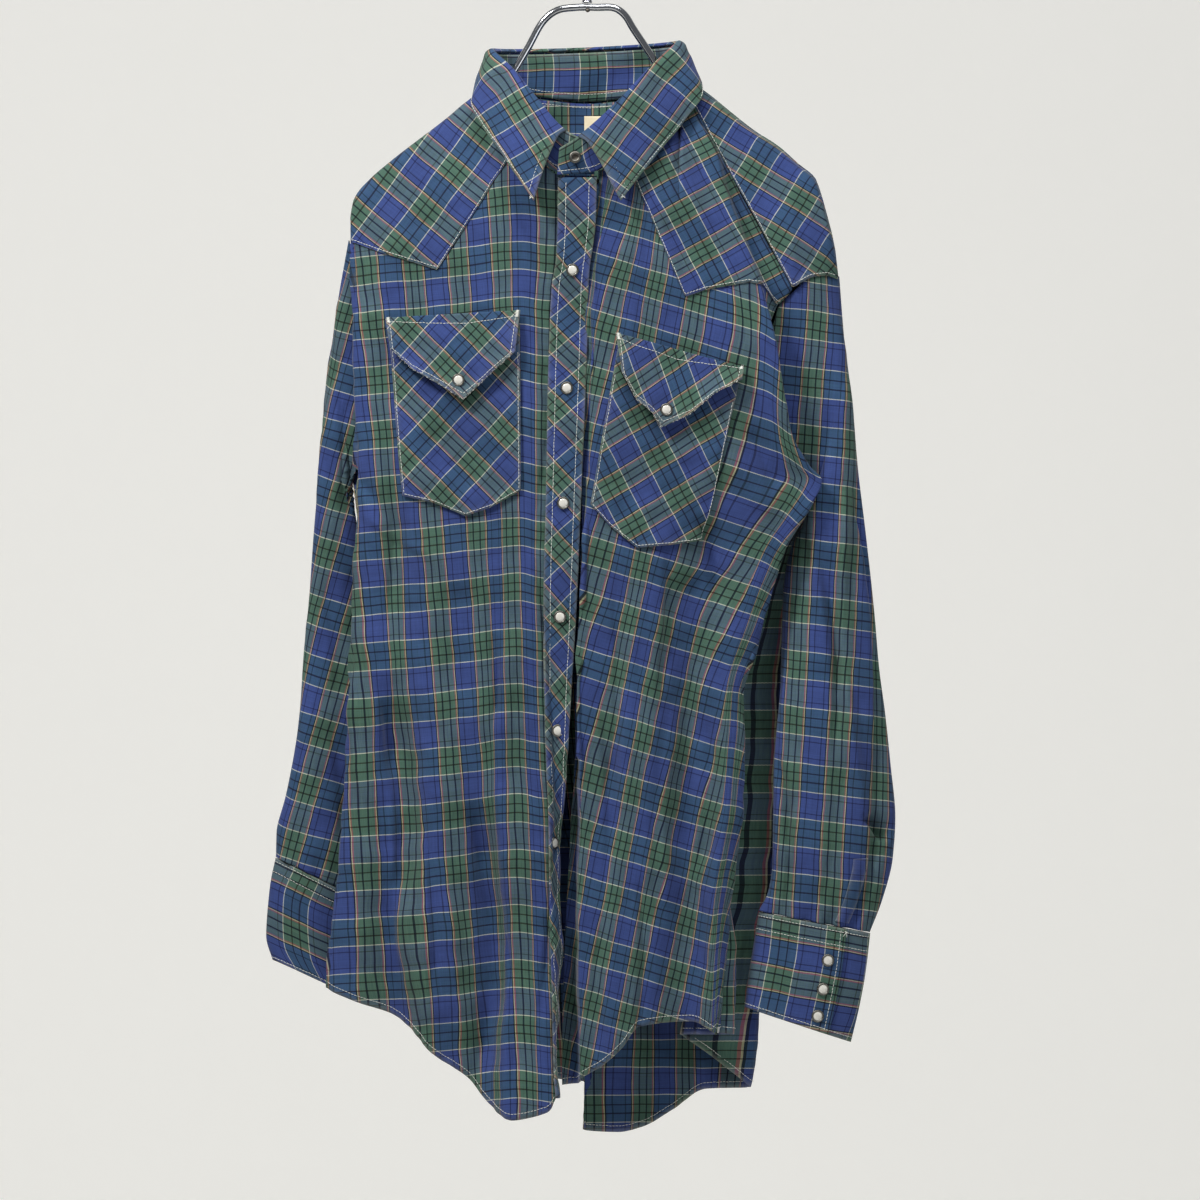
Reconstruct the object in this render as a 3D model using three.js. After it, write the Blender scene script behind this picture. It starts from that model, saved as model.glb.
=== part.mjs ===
// A western snap shirt hanging on a chrome hanger, in millimetres.
// +X is the viewer's right (the wearer's left), -Y is towards the viewer and +Z is up.
// The origin is the inner top of the hook, where a rail carries it.
import * as THREE from "three";

// Cloth walls and gaps
const CLOTH = 1.6; // one layer of cotton with its seam allowance
const DOUBLE = 2.2; // turned and topstitched pieces: collar, cuffs, front placket
const SEAM = 0.4; // between pieces that are sewn edge to edge
const TURNED_SEAM = 1.6; // where the cloth turns a corner at the seam, measured at the middle of its wall
const SLOPED_SEAM = 1.1; // measured down a steep edge
const LIE = 0.4; // between a piece and the panel it lies on
const ROLL = 9; // depth over which the cloth rounds over the hanger's arms
const ROLL_DEPTH = 6.5; // how far it stands from the arms' middle there
const HANG = 115; // depth over which it then comes to its own folds
const NECK_FALL = 60; // the same under the neck seam
const NECK_ROLL = 12; // depth of the neck seam at which the panel no longer rounds over the arms

// Hanger
const BAR_RADIUS = 3.1;
const HOOK_WIRE = 2;
const HOOK_RADIUS = 19;
const FERRULE_RADIUS = 4.2;
const FERRULE_HEIGHT = 6;
const BAR_TOP = -59;

// Snaps
const CAP_RADIUS = 5.1;
const CAP_HEIGHT = 2.6;
const CAP_SEAT = 0.35; // between a cap and its cloth

const v3 = (x, y, z) => new THREE.Vector3(x, y, z);
const lerp = THREE.MathUtils.lerp;
const clamp = THREE.MathUtils.clamp;

// Slopes at the keys of one column, flat wherever the column turns back, so that no fold overshoots its row.
function slopes(keys, values) {
  const last = keys.length - 1;
  const rise = (i) => (values[i + 1] - values[i]) / (keys[i + 1] - keys[i]);
  return values.map((_, i) => {
    if (i === 0) return rise(0);
    if (i === last) return rise(last - 1);
    const [a, b] = [rise(i - 1), rise(i)];
    return a * b <= 0 ? 0 : (2 * a * b) / (a + b);
  });
}

// Value of one column at a key, along a smooth curve through the rows.
function along(keys, values, key) {
  const k = clamp(key, keys[0], keys[keys.length - 1]);
  const m = slopes(keys, values);
  let i = 0;
  while (i < keys.length - 2 && k > keys[i + 1]) i += 1;
  const h = keys[i + 1] - keys[i];
  const t = (k - keys[i]) / h;
  const a = values[i] * (1 + 2 * t) * (1 - t) ** 2 + m[i] * h * t * (1 - t) ** 2;
  return a + values[i + 1] * t * t * (3 - 2 * t) - m[i + 1] * h * t * t * (1 - t);
}

// A table whose first column is the key, rising or falling, read at any key as the list of its other columns.
function table(rows) {
  const sorted = [...rows].sort((a, b) => a[0] - b[0]);
  const keys = sorted.map((r) => r[0]);
  const columns = sorted[0].slice(1).map((_, j) => sorted.map((r) => r[j + 1]));
  return (key) => columns.map((values) => along(keys, values, key));
}

// The upper edge of the body: height and depth of the cloth at each x. Columns: x, z, y.
const RIDGE_RIGHT = [
  [-190, -248, 0], [-189, -232, 0], [-186, -216, 0], [-174, -201, 0], [-158, -187, 0],
  [-110, -150, 0], [-97, -139, 0], [-78, -127.5, 0],
];
const RIDGE_LEFT = [
  [74, -119.5, 0], [82, -123, 0], [94, -130, 0], [114, -146, 0], [133, -161, 0],
  [153, -174, 0], [170, -189, 0], [182, -199, 0], [186, -209, 0], [192, -230, 0],
  [198, -255, 0], [201, -279, 0],
];
const FRONT_NECK_RIGHT = [
  [-76, -129, -4], [-66, -150, -22], [-45, -176, -37], [-22, -198, -43], [10, -199, -43.5],
];
const FRONT_NECK_LEFT = [
  [-5, -198.5, -43], [5, -197, -43], [38, -172.5, -36], [60, -145.5, -21.5], [72.5, -122, -4],
];
const BACK_NECK = [
  [-76, -127.5, 3], [-62, -129, 24.5], [-35, -134.5, 38.5], [0, -137.5, 43.5],
  [32, -134.5, 38.5], [58, -127.2, 24.5], [72, -120.5, 3],
];
const topRightFront = table([...RIDGE_RIGHT, ...FRONT_NECK_RIGHT]);
const topLeftFront = table([...FRONT_NECK_LEFT, [74, -121, -1], [76, -60, 0], [200, 0, 0]]);
const topBack = table([...RIDGE_RIGHT, ...BACK_NECK, ...RIDGE_LEFT]);

// Armholes: the seam between body and sleeve.
// Columns: angle round the arm (0 top, 90 front, 180 under), x, y, z.
const RIGHT_ARMHOLE = [
  [0, -191, 2, -249], [35, -187, -2.5, -272], [65, -181.5, -4, -312], [95, -180.5, -3.5, -362],
  [125, -182.5, -1.5, -412], [155, -189, 3, -443], [180, -193, 6, -453], [205, -191, 12, -438],
  [240, -185, 17.5, -392], [285, -182, 18.5, -332], [325, -185, 12, -278],
];
const LEFT_ARMHOLE = [
  [0, 202, 0, -281], [22, 182, -13, -280.5], [40, 166, -16, -294], [55, 153.5, -14, -304],
  [80, 146, -12.5, -346], [105, 150, -10.5, -396], [140, 171, -4, -427], [180, 184, 4, -442],
  [215, 178, 14, -427], [250, 174.5, 20.5, -386], [285, 178, 19.5, -331], [325, 191, 13, -301],
];

// Folds of the body, each a line that falls from the upper edge to the hem. Rows: z, x, y.
// "across" is the cloth's own width from the panel's first edge to the fold.
const RIGHT_SIDE_SEAM = [
  [-458, -187, 0], [-500, -184, -5], [-620, -186, -6], [-700, -190, -6], [-780, -197, -6], [-850, -203.5, -6],
];
const LEFT_SIDE_SEAM = [
  [-446, 179, -2], [-470, 170, -10], [-506, 149, -13], [-551, 137, -15], [-613, 119, -15], [-700, 119, -15],
  [-780, 110, -19], [-817, 111, -24], [-854, 108, -25], [-890, 106, -25],
];
const RIGHT_FRONT_FOLDS = [
  { fold: "armhole and side seam", across: 0, rows: [
    [-250, -188.5, -2], [-272, -186, -5], [-312, -181, -7], [-362, -179.5, -6.5],
    [-412, -181.5, -4.5], [-443, -186.5, -1], ...RIGHT_SIDE_SEAM] },
  { fold: "fold in front of the sleeve", across: 11, rows: [
    [-228, -189, -9], [-300, -187, -15], [-400, -185, -16], [-480, -185, -16], [-520, -187, -15],
    [-620, -190, -15], [-700, -195, -15], [-758, -199, -14], [-814, -205.6, -13], [-850, -208.4, -13]] },
  { fold: "side ridge", across: 28, rows: [
    [-250, -174, -20], [-400, -172, -22], [-620, -171, -23], [-700, -176, -23],
    [-780, -180, -22], [-850, -186, -20]] },
  { fold: "outer trough", across: 48, rows: [
    [-250, -156, -23], [-400, -155, -25], [-560, -154, -23], [-700, -153, -15],
    [-780, -156, -11], [-860, -155, -9]] },
  { fold: "middle ridge", across: 82, rows: [
    [-250, -124, -27], [-400, -125, -31], [-620, -125, -31], [-780, -127, -31], [-900, -128, -29]] },
  { fold: "inner trough", across: 118, rows: [
    [-280, -90, -30], [-400, -90, -33], [-600, -89, -32], [-700, -89, -29], [-800, -89, -21],
    [-925, -88, -14]] },
  { fold: "inner ridge", across: 151, rows: [
    [-230, -57, -36], [-400, -58, -36], [-700, -59, -35], [-955, -60, -33]] },
  { fold: "left edge of the front placket", across: 178, rows: [
    [-199, -23, -43], [-235, -23.5, -40], [-262, -24.5, -38], [-290, -28.5, -37], [-340, -30.5, -36.5],
    [-440, -32.5, -36], [-540, -34.5, -35.5], [-617, -34, -35], [-730, -30.5, -35],
    [-842, -28.5, -34], [-935, -27, -32]] },
  { fold: "front edge", across: 205, rows: [
    [-199, 8, -43.5], [-235, 7, -40], [-280, 1.5, -36.5], [-340, 0, -36], [-440, -4, -35.5],
    [-537, -8, -35], [-617, -11, -34], [-730, -14.5, -34], [-800, -19, -28], [-860, -23, -22],
    [-935, -24, -22]] },
];
const LEFT_FRONT_FOLDS = [
  { fold: "seam at the placket", across: 0, rows: [
    [-199, 11, -44], [-235, 10.5, -42], [-280, 5, -38.5], [-340, 3.6, -38], [-440, -0.5, -37.5],
    [-537, -4.5, -37], [-617, -7.5, -36], [-730, -11, -35], [-800, -15, -29], [-860, -18.5, -23],
    [-935, -19.5, -23]] },
  { fold: "trough beside the placket", across: 12, rows: [
    [-199, 14, -41], [-235, 13, -33], [-280, 8, -27], [-340, 6.5, -25], [-440, 3, -24],
    [-537, -1, -23], [-617, -4, -22], [-730, -7, -20], [-860, -11, -17], [-935, -12, -19]] },
  { fold: "fold beside the placket", across: 30, rows: [
    [-199, 19, -42], [-218, 15, -43], [-280, 7, -44], [-340, 4.5, -44], [-440, 1, -44],
    [-537, -3.5, -43], [-617, -7.5, -42], [-730, -8.5, -40], [-858, -9.5, -38], [-925, -9, -36]] },
  { fold: "inner flat", across: 52, rows: [
    [-190, 36, -42], [-230, 34, -45], [-300, 27, -46], [-440, 24, -45], [-620, 18, -41],
    [-850, 13, -36], [-925, 12, -34]] },
  { fold: "chest ridge", across: 86, rows: [
    [-150, 52, -28], [-185, 55, -37], [-230, 57, -42], [-400, 58, -45], [-620, 48, -42],
    [-880, 43, -38]] },
  { fold: "deep trough", across: 124, rows: [
    [-140, 62, -20], [-185, 78, -31], [-229, 88, -37], [-285, 98, -40], [-350, 103, -42],
    [-430, 106, -41], [-470, 105, -38], [-508, 101, -33], [-530, 91, -28], [-574, 87, -24],
    [-621, 85, -22], [-860, 82, -21]] },
  { fold: "side ridge", across: 148, rows: [
    [-140, 71, -13], [-185, 91, -25], [-229, 105, -32], [-285, 123, -35], [-330, 136, -36],
    [-378, 144, -36], [-407, 151, -34], [-430, 159, -31], [-442, 164, -29], [-470, 154, -30],
    [-500, 140, -33], [-551, 126, -34], [-613, 112, -34], [-700, 110, -33], [-780, 102, -31],
    [-890, 100, -29]] },
  { fold: "fold edge before the armhole", across: 162, rows: [
    [-128, 74.8, -8], [-146, 83, -15], [-168, 97, -21], [-205, 110, -28], [-244, 122, -33],
    [-285, 137, -35], [-328, 150, -36], [-378, 158, -35], [-407, 164, -33], [-431, 178, -29],
    [-442, 188, -26], [-462, 179, -27], [-489, 162, -28], [-531, 147, -29], [-575, 135, -29],
    [-613, 124, -29], [-649, 126, -29], [-698, 124, -28], [-762, 117, -27], [-800, 110, -28],
    [-890, 103.5, -27]] },
  { fold: "recess behind the fold", across: 173, rows: [
    [-128, 75.6, -7], [-146, 84.6, -12], [-170, 100.5, -15], [-205, 113.5, -18], [-244, 125.5, -20],
    [-285, 140.5, -22.5], [-330, 148, -23], [-378, 154, -23], [-407, 160, -22], [-431, 174, -16],
    [-442, 184, -14], [-462, 176, -18], [-489, 160, -20], [-531, 145, -22], [-613, 122.5, -22],
    [-698, 122.5, -21], [-762, 115.5, -21], [-800, 111, -26], [-890, 105, -26]] },
  { fold: "shoulder seam, armhole and side seam", across: 186, rows: [
    [-124, 76.4, -6.5], [-142, 86, -9.5], [-191, 112, -13], [-240, 139, -16], [-264.5, 152, -17.5],
    [-283, 162, -18.5], [-288, 164.5, -19],
    [-295, 160, -19], [-305, 152.5, -17.5], [-346, 145, -16.5], [-396, 148.5, -14.5],
    [-426, 166, -9], ...LEFT_SIDE_SEAM] },
];
const BACK_FOLDS = [
  { fold: "left armhole and side seam", across: 0, rows: [
    [-279, 201, 1], [-301, 189, 13.5], [-331, 176.5, 20], [-386, 173, 21], [-427, 176.5, 13],
    ...LEFT_SIDE_SEAM] },
  { fold: "fold behind the side seam", across: 12, rows: [
    [-250, 184, 15], [-301, 173, 18], [-386, 166, 22], [-427, 171, 16], [-445, 174, 6],
    [-470, 168, -3], [-506, 147, -6], [-551, 134, -8], [-613, 115, -8], [-700, 115, -8],
    [-750, 111, -9], [-780, 114, -13], [-817, 119, -20], [-854, 118.5, -19], [-890, 118, -18]] },
  { fold: "tuck", across: 30, rows: [
    [-230, 160, 17], [-301, 156, 21], [-386, 157, 24], [-441, 166, 15], [-470, 164, 5],
    [-506, 146, 4], [-551, 131, 4], [-613, 109, 4], [-700, 106, 2], [-780, 96, 0],
    [-817, 88, -4], [-890, 74, -5]] },
  { fold: "fold beside the sleeve", across: 50, rows: [
    [-200, 140, 16], [-301, 136, 23], [-386, 142, 26], [-441, 158, 25], [-470, 162, 22],
    [-506, 158, 22], [-551, 153, 21], [-613, 152, 21], [-700, 150, 20], [-780, 147, 18],
    [-870, 137.5, 16], [-906, 134.5, 15], [-929, 130.5, 15]] },
  { fold: "right of the back", across: 90, rows: [
    [-180, 95, 20], [-300, 95, 27], [-500, 98, 31], [-931, 95, 31]] },
  { fold: "beside the centre", across: 160, rows: [
    [-160, 30, 33], [-200, 30, 29], [-400, 30, 31], [-700, 30, 31], [-965, 25, 23]] },
  { fold: "centre fold", across: 184, rows: [
    [-160, 5, 36], [-200, 5, 30], [-400, 5, 32], [-700, 2, 32], [-850, -2.5, 25], [-965, -3, 21]] },
  { fold: "behind the centre fold", across: 208, rows: [
    [-160, -20, 33], [-200, -20, 30], [-500, -20, 33], [-700, -6, 35], [-850, 22, 33],
    [-950, 32, 32]] },
  { fold: "left of the centre", across: 246, rows: [
    [-160, -50, 26], [-200, -50, 27], [-400, -50, 30], [-600, -50, 32], [-850, -36, 37], [-930, -32, 37]] },
  { fold: "left of the back", across: 306, rows: [
    [-200, -110, 18], [-400, -110, 22], [-850, -110, 22], [-905, -110, 22]] },
  { fold: "outer left", across: 346, rows: [
    [-220, -155, 11], [-300, -153, 15], [-390, -152, 15], [-500, -152, 11], [-620, -152, 9],
    [-850, -160, 8]] },
  { fold: "left fold", across: 366, rows: [
    [-240, -182, 8], [-300, -173, 14], [-390, -172, 15], [-440, -178, 9], [-475, -178, 3],
    [-600, -177, 1], [-700, -181, 1], [-850, -191, 0]] },
  { fold: "right armhole and side seam", across: 378, rows: [
    [-250, -189, 1.5], [-278, -184, 11.5], [-332, -181, 17.5], [-392, -184, 16.5], [-438, -188, 9],
    ...RIGHT_SIDE_SEAM] },
];

// The cloth of one panel at a width across it and a height. It rounds over from the upper edge.
function panel(folds, top) {
  const keys = folds.map((f) => f.across);
  const lines = folds.map((f) => table(f.rows));
  return (across, z) => {
    const here = lines.map((line) => line(z));
    const x = along(keys, here.map((p) => p[0]), across);
    const y = along(keys, here.map((p) => p[1]), across);
    const [topZ, topY] = top(x);
    const neck = clamp(Math.abs(topY) / NECK_ROLL, 0, 1);
    const fall = clamp((topZ - z) / NECK_FALL, 0, 1);
    const underNeck = lerp(topY, y, fall * (2 - fall));
    return v3(x, lerp(overArm(y, topZ - z), underNeck, neck), z);
  };
}

// Depth of the cloth at a drop below the shoulder ridge: round over the arm, then out to the fold's depth.
function overArm(y, drop) {
  const turn = clamp(drop / ROLL, 0, 1);
  const near = Math.min(ROLL_DEPTH, Math.abs(y)) * Math.sqrt(1 - (1 - turn) ** 2);
  const far = Math.max(Math.abs(y) - ROLL_DEPTH, 0) * Math.sin((Math.PI / 2) * clamp(drop / HANG, 0, 1));
  return Math.sign(y) * (near + far);
}
const rightFront = panel(RIGHT_FRONT_FOLDS, topRightFront);
const leftFront = panel(LEFT_FRONT_FOLDS, topLeftFront);
const back = panel(BACK_FOLDS, topBack);

// Edges across the panels. Columns: x, z.
const edge = (rows) => {
  const at = table(rows);
  return (x) => at(x)[0];
};
const YOKE_EDGE_RIGHT = edge([
  [-190, -251], [-186, -251.5], [-164, -260], [-120, -273.5], [-86, -221], [-55, -172.5], [-52, -168.5],
]);
const FRONT_TOP_RIGHT = edge([
  [-190, -251], [-186, -251.5], [-164, -260], [-120, -273.5], [-86, -221], [-55, -172.5], [-52, -169.5],
  [-45, -176.5], [-22, -198], [10, -199],
]);
const YOKE_EDGE_LEFT = edge([
  [31, -184], [42, -210], [60, -252], [78.5, -295.5], [94, -290], [130, -283.5], [141, -286], [152, -301],
]);
const FRONT_TOP_LEFT = edge([
  [-5, -198.5], [5, -197.5], [29, -181.5], [31, -184], [42, -210], [60, -252], [78.5, -295.5], [94, -290],
  [130, -283.5], [141, -286], [152, -301],
]);
const YOKE_EDGE_BACK = edge([
  [-190, -312], [-120, -292], [-60, -281], [0, -308], [60, -278], [130, -296], [205, -322],
]);
const HEM_RIGHT_FRONT = table([
  [0, -846], [11, -848.5], [28, -859], [48, -870], [82, -897], [112, -921], [124, -937], [151, -954],
  [170, -948], [184, -934], [205, -930],
]);
const HEM_LEFT_FRONT = table([
  [0, -926], [12, -925], [30, -921], [52, -910], [70, -896], [84, -879], [124, -875], [148, -883],
  [162, -885.5], [186, -884],
]);
const HEM_BACK = table([
  [0, -884], [12, -885.5], [30, -886], [50, -929], [90, -931], [118, -943], [142, -960], [160, -965.5],
  [182, -963.5], [208, -948], [228, -926], [246, -922], [306, -900], [346, -866], [366, -849], [378, -846],
]);

const RIGHT_YOKE_END = 152.4; // width across the right front where its yoke meets the neck
const LEFT_YOKE_START = 50; // the same on the left front

// Height at which a line across the panel crosses the fold at this width.
function crossing(surface, line, across) {
  let z = -300;
  for (let i = 0; i < 12; i += 1) z = lerp(z, line(surface(across, z).x), 0.7);
  return z;
}

// Widths across a panel: each stretch between folds is cut into equal steps.
function widths(folds, steps, from = 0, to = folds[folds.length - 1].across) {
  const keys = folds.map((f) => f.across);
  const all = keys.slice(1).flatMap((k, i) =>
    Array.from({ length: steps }, (_, s) => lerp(keys[i], k, s / steps)));
  return [from, ...all.filter((k) => k > from + 1.5 && k < to - 1.5), to];
}

// A sheet of points: for each width a column of points from its upper to its lower end.
function sheet(surface, across, upper, lower, shares) {
  return across.map((a) => shares.map((s) => surface(a, lerp(upper(a), lower(a), s))));
}

// Pulls a sheet's outer rows in by the given distances, so that sewn neighbours stand a seam gap apart.
function trim(grid, { first = 0, last = 0, upper = 0, lower = 0 }) {
  const pull = (p, inner, by) => p.addScaledVector(inner.clone().sub(p).normalize(), by);
  const n = grid.length - 1;
  const m = grid[0].length - 1;
  grid[0].forEach((p, j) => pull(p, grid[1][j], first));
  grid[n].forEach((p, j) => pull(p, grid[n - 1][j], last));
  grid.forEach((column) => pull(column[0], column[1], upper));
  grid.forEach((column) => pull(column[m], column[m - 1], lower));
  return grid;
}

// Unit normals of a sheet's points.
function normals(grid, round) {
  const n = grid.length;
  const m = grid[0].length;
  const column = (i) => (round ? grid[(i + n) % n] : grid[clamp(i, 0, n - 1)]);
  return grid.map((points, i) => points.map((_, j) => {
    const u = column(i + 1)[j].clone().sub(column(i - 1)[j]);
    const w = points[Math.min(j + 1, m - 1)].clone().sub(points[Math.max(j - 1, 0)]);
    return u.cross(w).normalize();
  }));
}

// A closed wall on both sides of a sheet's points. A round sheet joins its last column to its first.
function wall(grid, thick, round = false) {
  const n = grid.length;
  const m = grid[0].length;
  const out = normals(grid, round);
  const points = [];
  for (const side of [0.5, -0.5]) {
    grid.forEach((column, i) => column.forEach((p, j) => {
      points.push(p.clone().addScaledVector(out[i][j], side * thick));
    }));
  }
  const at = (side, i, j) => side * n * m + (i % n) * m + j;
  const index = [];
  const quad = (a, b, c, d) => index.push(a, b, c, a, c, d);
  const spans = round ? n : n - 1;
  for (let i = 0; i < spans; i += 1) {
    for (let j = 0; j < m - 1; j += 1) {
      quad(at(0, i, j), at(0, i + 1, j), at(0, i + 1, j + 1), at(0, i, j + 1));
      quad(at(1, i, j), at(1, i, j + 1), at(1, i + 1, j + 1), at(1, i + 1, j));
    }
    quad(at(0, i, 0), at(1, i, 0), at(1, i + 1, 0), at(0, i + 1, 0));
    quad(at(0, i, m - 1), at(0, i + 1, m - 1), at(1, i + 1, m - 1), at(1, i, m - 1));
  }
  if (!round) {
    for (let j = 0; j < m - 1; j += 1) {
      quad(at(0, 0, j), at(0, 0, j + 1), at(1, 0, j + 1), at(1, 0, j));
      quad(at(0, n - 1, j), at(1, n - 1, j), at(1, n - 1, j + 1), at(0, n - 1, j + 1));
    }
  }
  return outward(points, index);
}

// A geometry from points and triangles, turned so that its faces point out.
function outward(points, index) {
  let volume = 0;
  for (let i = 0; i < index.length; i += 3) {
    const [a, b, c] = [points[index[i]], points[index[i + 1]], points[index[i + 2]]];
    volume += a.dot(b.clone().cross(c));
  }
  if (volume < 0) index.reverse();
  const geometry = new THREE.BufferGeometry().setFromPoints(points);
  geometry.setIndex(index);
  geometry.computeVertexNormals();
  return geometry;
}

// Materials
const finish = (color, roughness, metalness = 0) =>
  new THREE.MeshStandardMaterial({ color, roughness, metalness });
const PLAID = finish("#466d8c", 0.85);
const BIAS_PLAID = finish("#4f7f83", 0.85);
const PEARL = finish("#e9e4d8", 0.25);
const CHROME = finish("#d8dade", 0.12, 1);
const LABEL = finish("#e6dcc4", 0.8);

const shirt = new THREE.Group();
function add(name, geometry, material) {
  const mesh = new THREE.Mesh(geometry, material);
  mesh.name = name;
  shirt.add(mesh);
  return mesh;
}

const even = (count) => Array.from({ length: count + 1 }, (_, i) => i / count);
const ROUNDED = [0, 0.022, 0.08, 0.18, 0.36, 0.58, 0.8, 1]; // rows, closer where the cloth rounds over the arm

// Body panels
function fronts() {
  const rf = widths(RIGHT_FRONT_FOLDS, 2);
  const rfTop = (a) => crossing(rightFront, FRONT_TOP_RIGHT, a) - SLOPED_SEAM;
  add("right_front", wall(trim(sheet(rightFront, rf, rfTop, (a) => HEM_RIGHT_FRONT(a)[0], even(17)),
    { first: TURNED_SEAM / 2 }), CLOTH), PLAID);
  const lf = widths(LEFT_FRONT_FOLDS, 2);
  const lfTop = (a) => crossing(leftFront, FRONT_TOP_LEFT, a) - SLOPED_SEAM;
  add("left_front", wall(trim(sheet(leftFront, lf, lfTop, (a) => HEM_LEFT_FRONT(a)[0], even(18)),
    { first: SEAM / 2, last: TURNED_SEAM / 2 }), CLOTH), PLAID);
}

function frontYokes() {
  const topRight = (x) => topRightFront(x)[0];
  const rightWidths = widths(RIGHT_FRONT_FOLDS, 2, 0, RIGHT_YOKE_END);
  add("right_front_yoke", wall(trim(sheet(rightFront, rightWidths,
    (a) => crossing(rightFront, topRight, a), (a) => crossing(rightFront, YOKE_EDGE_RIGHT, a), ROUNDED),
    { first: SEAM, last: SEAM, upper: SEAM / 2, lower: SEAM / 2 }), CLOTH), BIAS_PLAID);
  const topLeft = (x) => (x < 73 ? topLeftFront(x)[0] : -124);
  const leftWidths = widths(LEFT_FRONT_FOLDS, 2, LEFT_YOKE_START, 186);
  add("left_front_yoke", wall(trim(sheet(leftFront, leftWidths,
    (a) => crossing(leftFront, topLeft, a), (a) => crossing(leftFront, YOKE_EDGE_LEFT, a), even(9)),
    { first: SLOPED_SEAM, last: SEAM / 2, upper: SEAM / 2, lower: SEAM / 2 }), CLOTH), BIAS_PLAID);
}

function backPanel() {
  const w = widths(BACK_FOLDS, 2);
  const upper = (a) => crossing(back, YOKE_EDGE_BACK, a) - SLOPED_SEAM;
  add("back", wall(trim(sheet(back, w, upper, (a) => HEM_BACK(a)[0], even(16)),
    { first: TURNED_SEAM / 2, last: TURNED_SEAM / 2 }), CLOTH), PLAID);
}

// The seam where the back yoke, come forward over the left shoulder, meets the front yoke, then the sleeve.
// Columns: x, z, y.
const NECK_END = 76.4;
const SHOULDER_SEAM = table([
  [76.4, -124, -6.5], [86, -142, -9.5], [112, -191, -13], [139, -240, -16], [152, -264.5, -17.5],
  [162, -283, -18.5], [164.5, -288, -19], [170, -285, -17], [182, -279.5, -13], [192, -278.5, -8],
  [201, -281, -1],
]);

// Columns of the back yoke, by x at its upper edge, closer together where the neck meets the shoulders.
const BACK_YOKE_COLUMNS = [
  201, 195, 187, 176, 164.5, 152, 139, 126, 112, 98, 86, 80, 76, 71, 64, 54, 40, 22, 2,
  -18, -36, -52, -64, -72, -77, -86, -100, -118, -138, -158, -174, -184, -189.5,
];

// The back yoke: rows in front of the shoulder ridge, then rows down to its pointed edge.
function backYoke() {
  const top = (x) => topBack(x)[0];
  const grid = BACK_YOKE_COLUMNS.map((x) => {
    const ridge = top(x);
    const a = widthAt(back, BACK_FOLDS, x, ridge);
    const [seamZ, seamY] = SHOULDER_SEAM(x);
    const reach = x > NECK_END ? Math.max(0, ridge - seamZ - TURNED_SEAM) : 0;
    const lower = crossing(back, YOKE_EDGE_BACK, a);
    const front = [0, 0.45, 0.78, 0.93, 1].map((share, k) => {
      const below = reach * (1 - share);
      if (below < 1) return back(a, ridge - 0.4 * k);
      const own = Math.abs(overArm(seamY, reach));
      return v3(x, (overArm(seamY, below) * Math.abs(seamY)) / own, ridge - below);
    });
    const rear = [0.04, 0.14, 0.36, 0.68, 1].map((share) => back(a, lerp(ridge - 2, lower, share)));
    return [...front, ...rear];
  });
  const cut = trim(grid, { first: SEAM, last: SEAM, upper: SEAM / 2, lower: SEAM / 2 });
  add("back_yoke", wall(cut, CLOTH), BIAS_PLAID);
}

// A flattened ring of points round a limb, from its outer edge round the front to its inner edge and back.
const SLEEVE_SIDES = 16;
const ANGLES = Array.from({ length: SLEEVE_SIDES }, (_, i) => (i * 360) / SLEEVE_SIDES);
function ring(row) {
  const [outerX, outerY, outerZ, innerX, innerY, innerZ, half] = row;
  return ANGLES.map((angle) => {
    const turn = THREE.MathUtils.degToRad(angle);
    const side = Math.sin(turn);
    const share = (1 + Math.cos(turn)) / 2;
    const swell = Math.sign(side) * Math.abs(side) ** 0.85 * half;
    return v3(lerp(innerX, outerX, share), lerp(innerY, outerY, share) - swell, lerp(innerZ, outerZ, share));
  });
}
function armhole(rows) {
  const at = table([...rows, [360, ...rows[0].slice(1)]]);
  return ANGLES.map((angle) => v3(...at(angle)));
}

// Sleeve sections from shoulder to cuff. Columns: outer x, y, z, inner x, y, z, half depth.
const RIGHT_SLEEVE = [
  [-200, 6, -300, -192, 14, -466, 12], [-208, 8, -362, -185, 20, -482, 12],
  [-214, 10, -425, -178, 26, -502, 13], [-219, 10, -482, -168, 30, -532, 14],
  [-223, 10, -538, -160, 32, -572, 15], [-227, 10, -578, -156, 33, -607, 15],
  [-231, 10, -634, -153, 33, -652, 15], [-241, 10, -692, -153, 32, -706, 16],
  [-249, 10, -724, -157, 30, -745, 16], [-249.5, 9, -744, -163, 28, -787, 13],
];
const LEFT_SLEEVE = [
  [206, 0, -328, 185, 7, -456, 15], [213, 0, -385, 175.5, 7, -476, 16], [217, 0, -432, 164, 6, -496, 17],
  [223, 0, -482, 158, 4, -530, 17], [230, 0, -546, 156.5, 0, -568, 18], [234, 0, -592, 155.5, -4, -606, 19],
  [239, 0, -630, 152.5, -5, -640, 20], [243, 0, -668, 150, -6, -674, 20], [247, 0, -711, 149.5, -6, -714, 20],
  [245, 0, -744, 149, -6, -748, 19], [236.5, 0, -778, 146, -6, -770, 17],
  [226.5, 0, -804, 138.5, -6, -787, 14],
];
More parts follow.
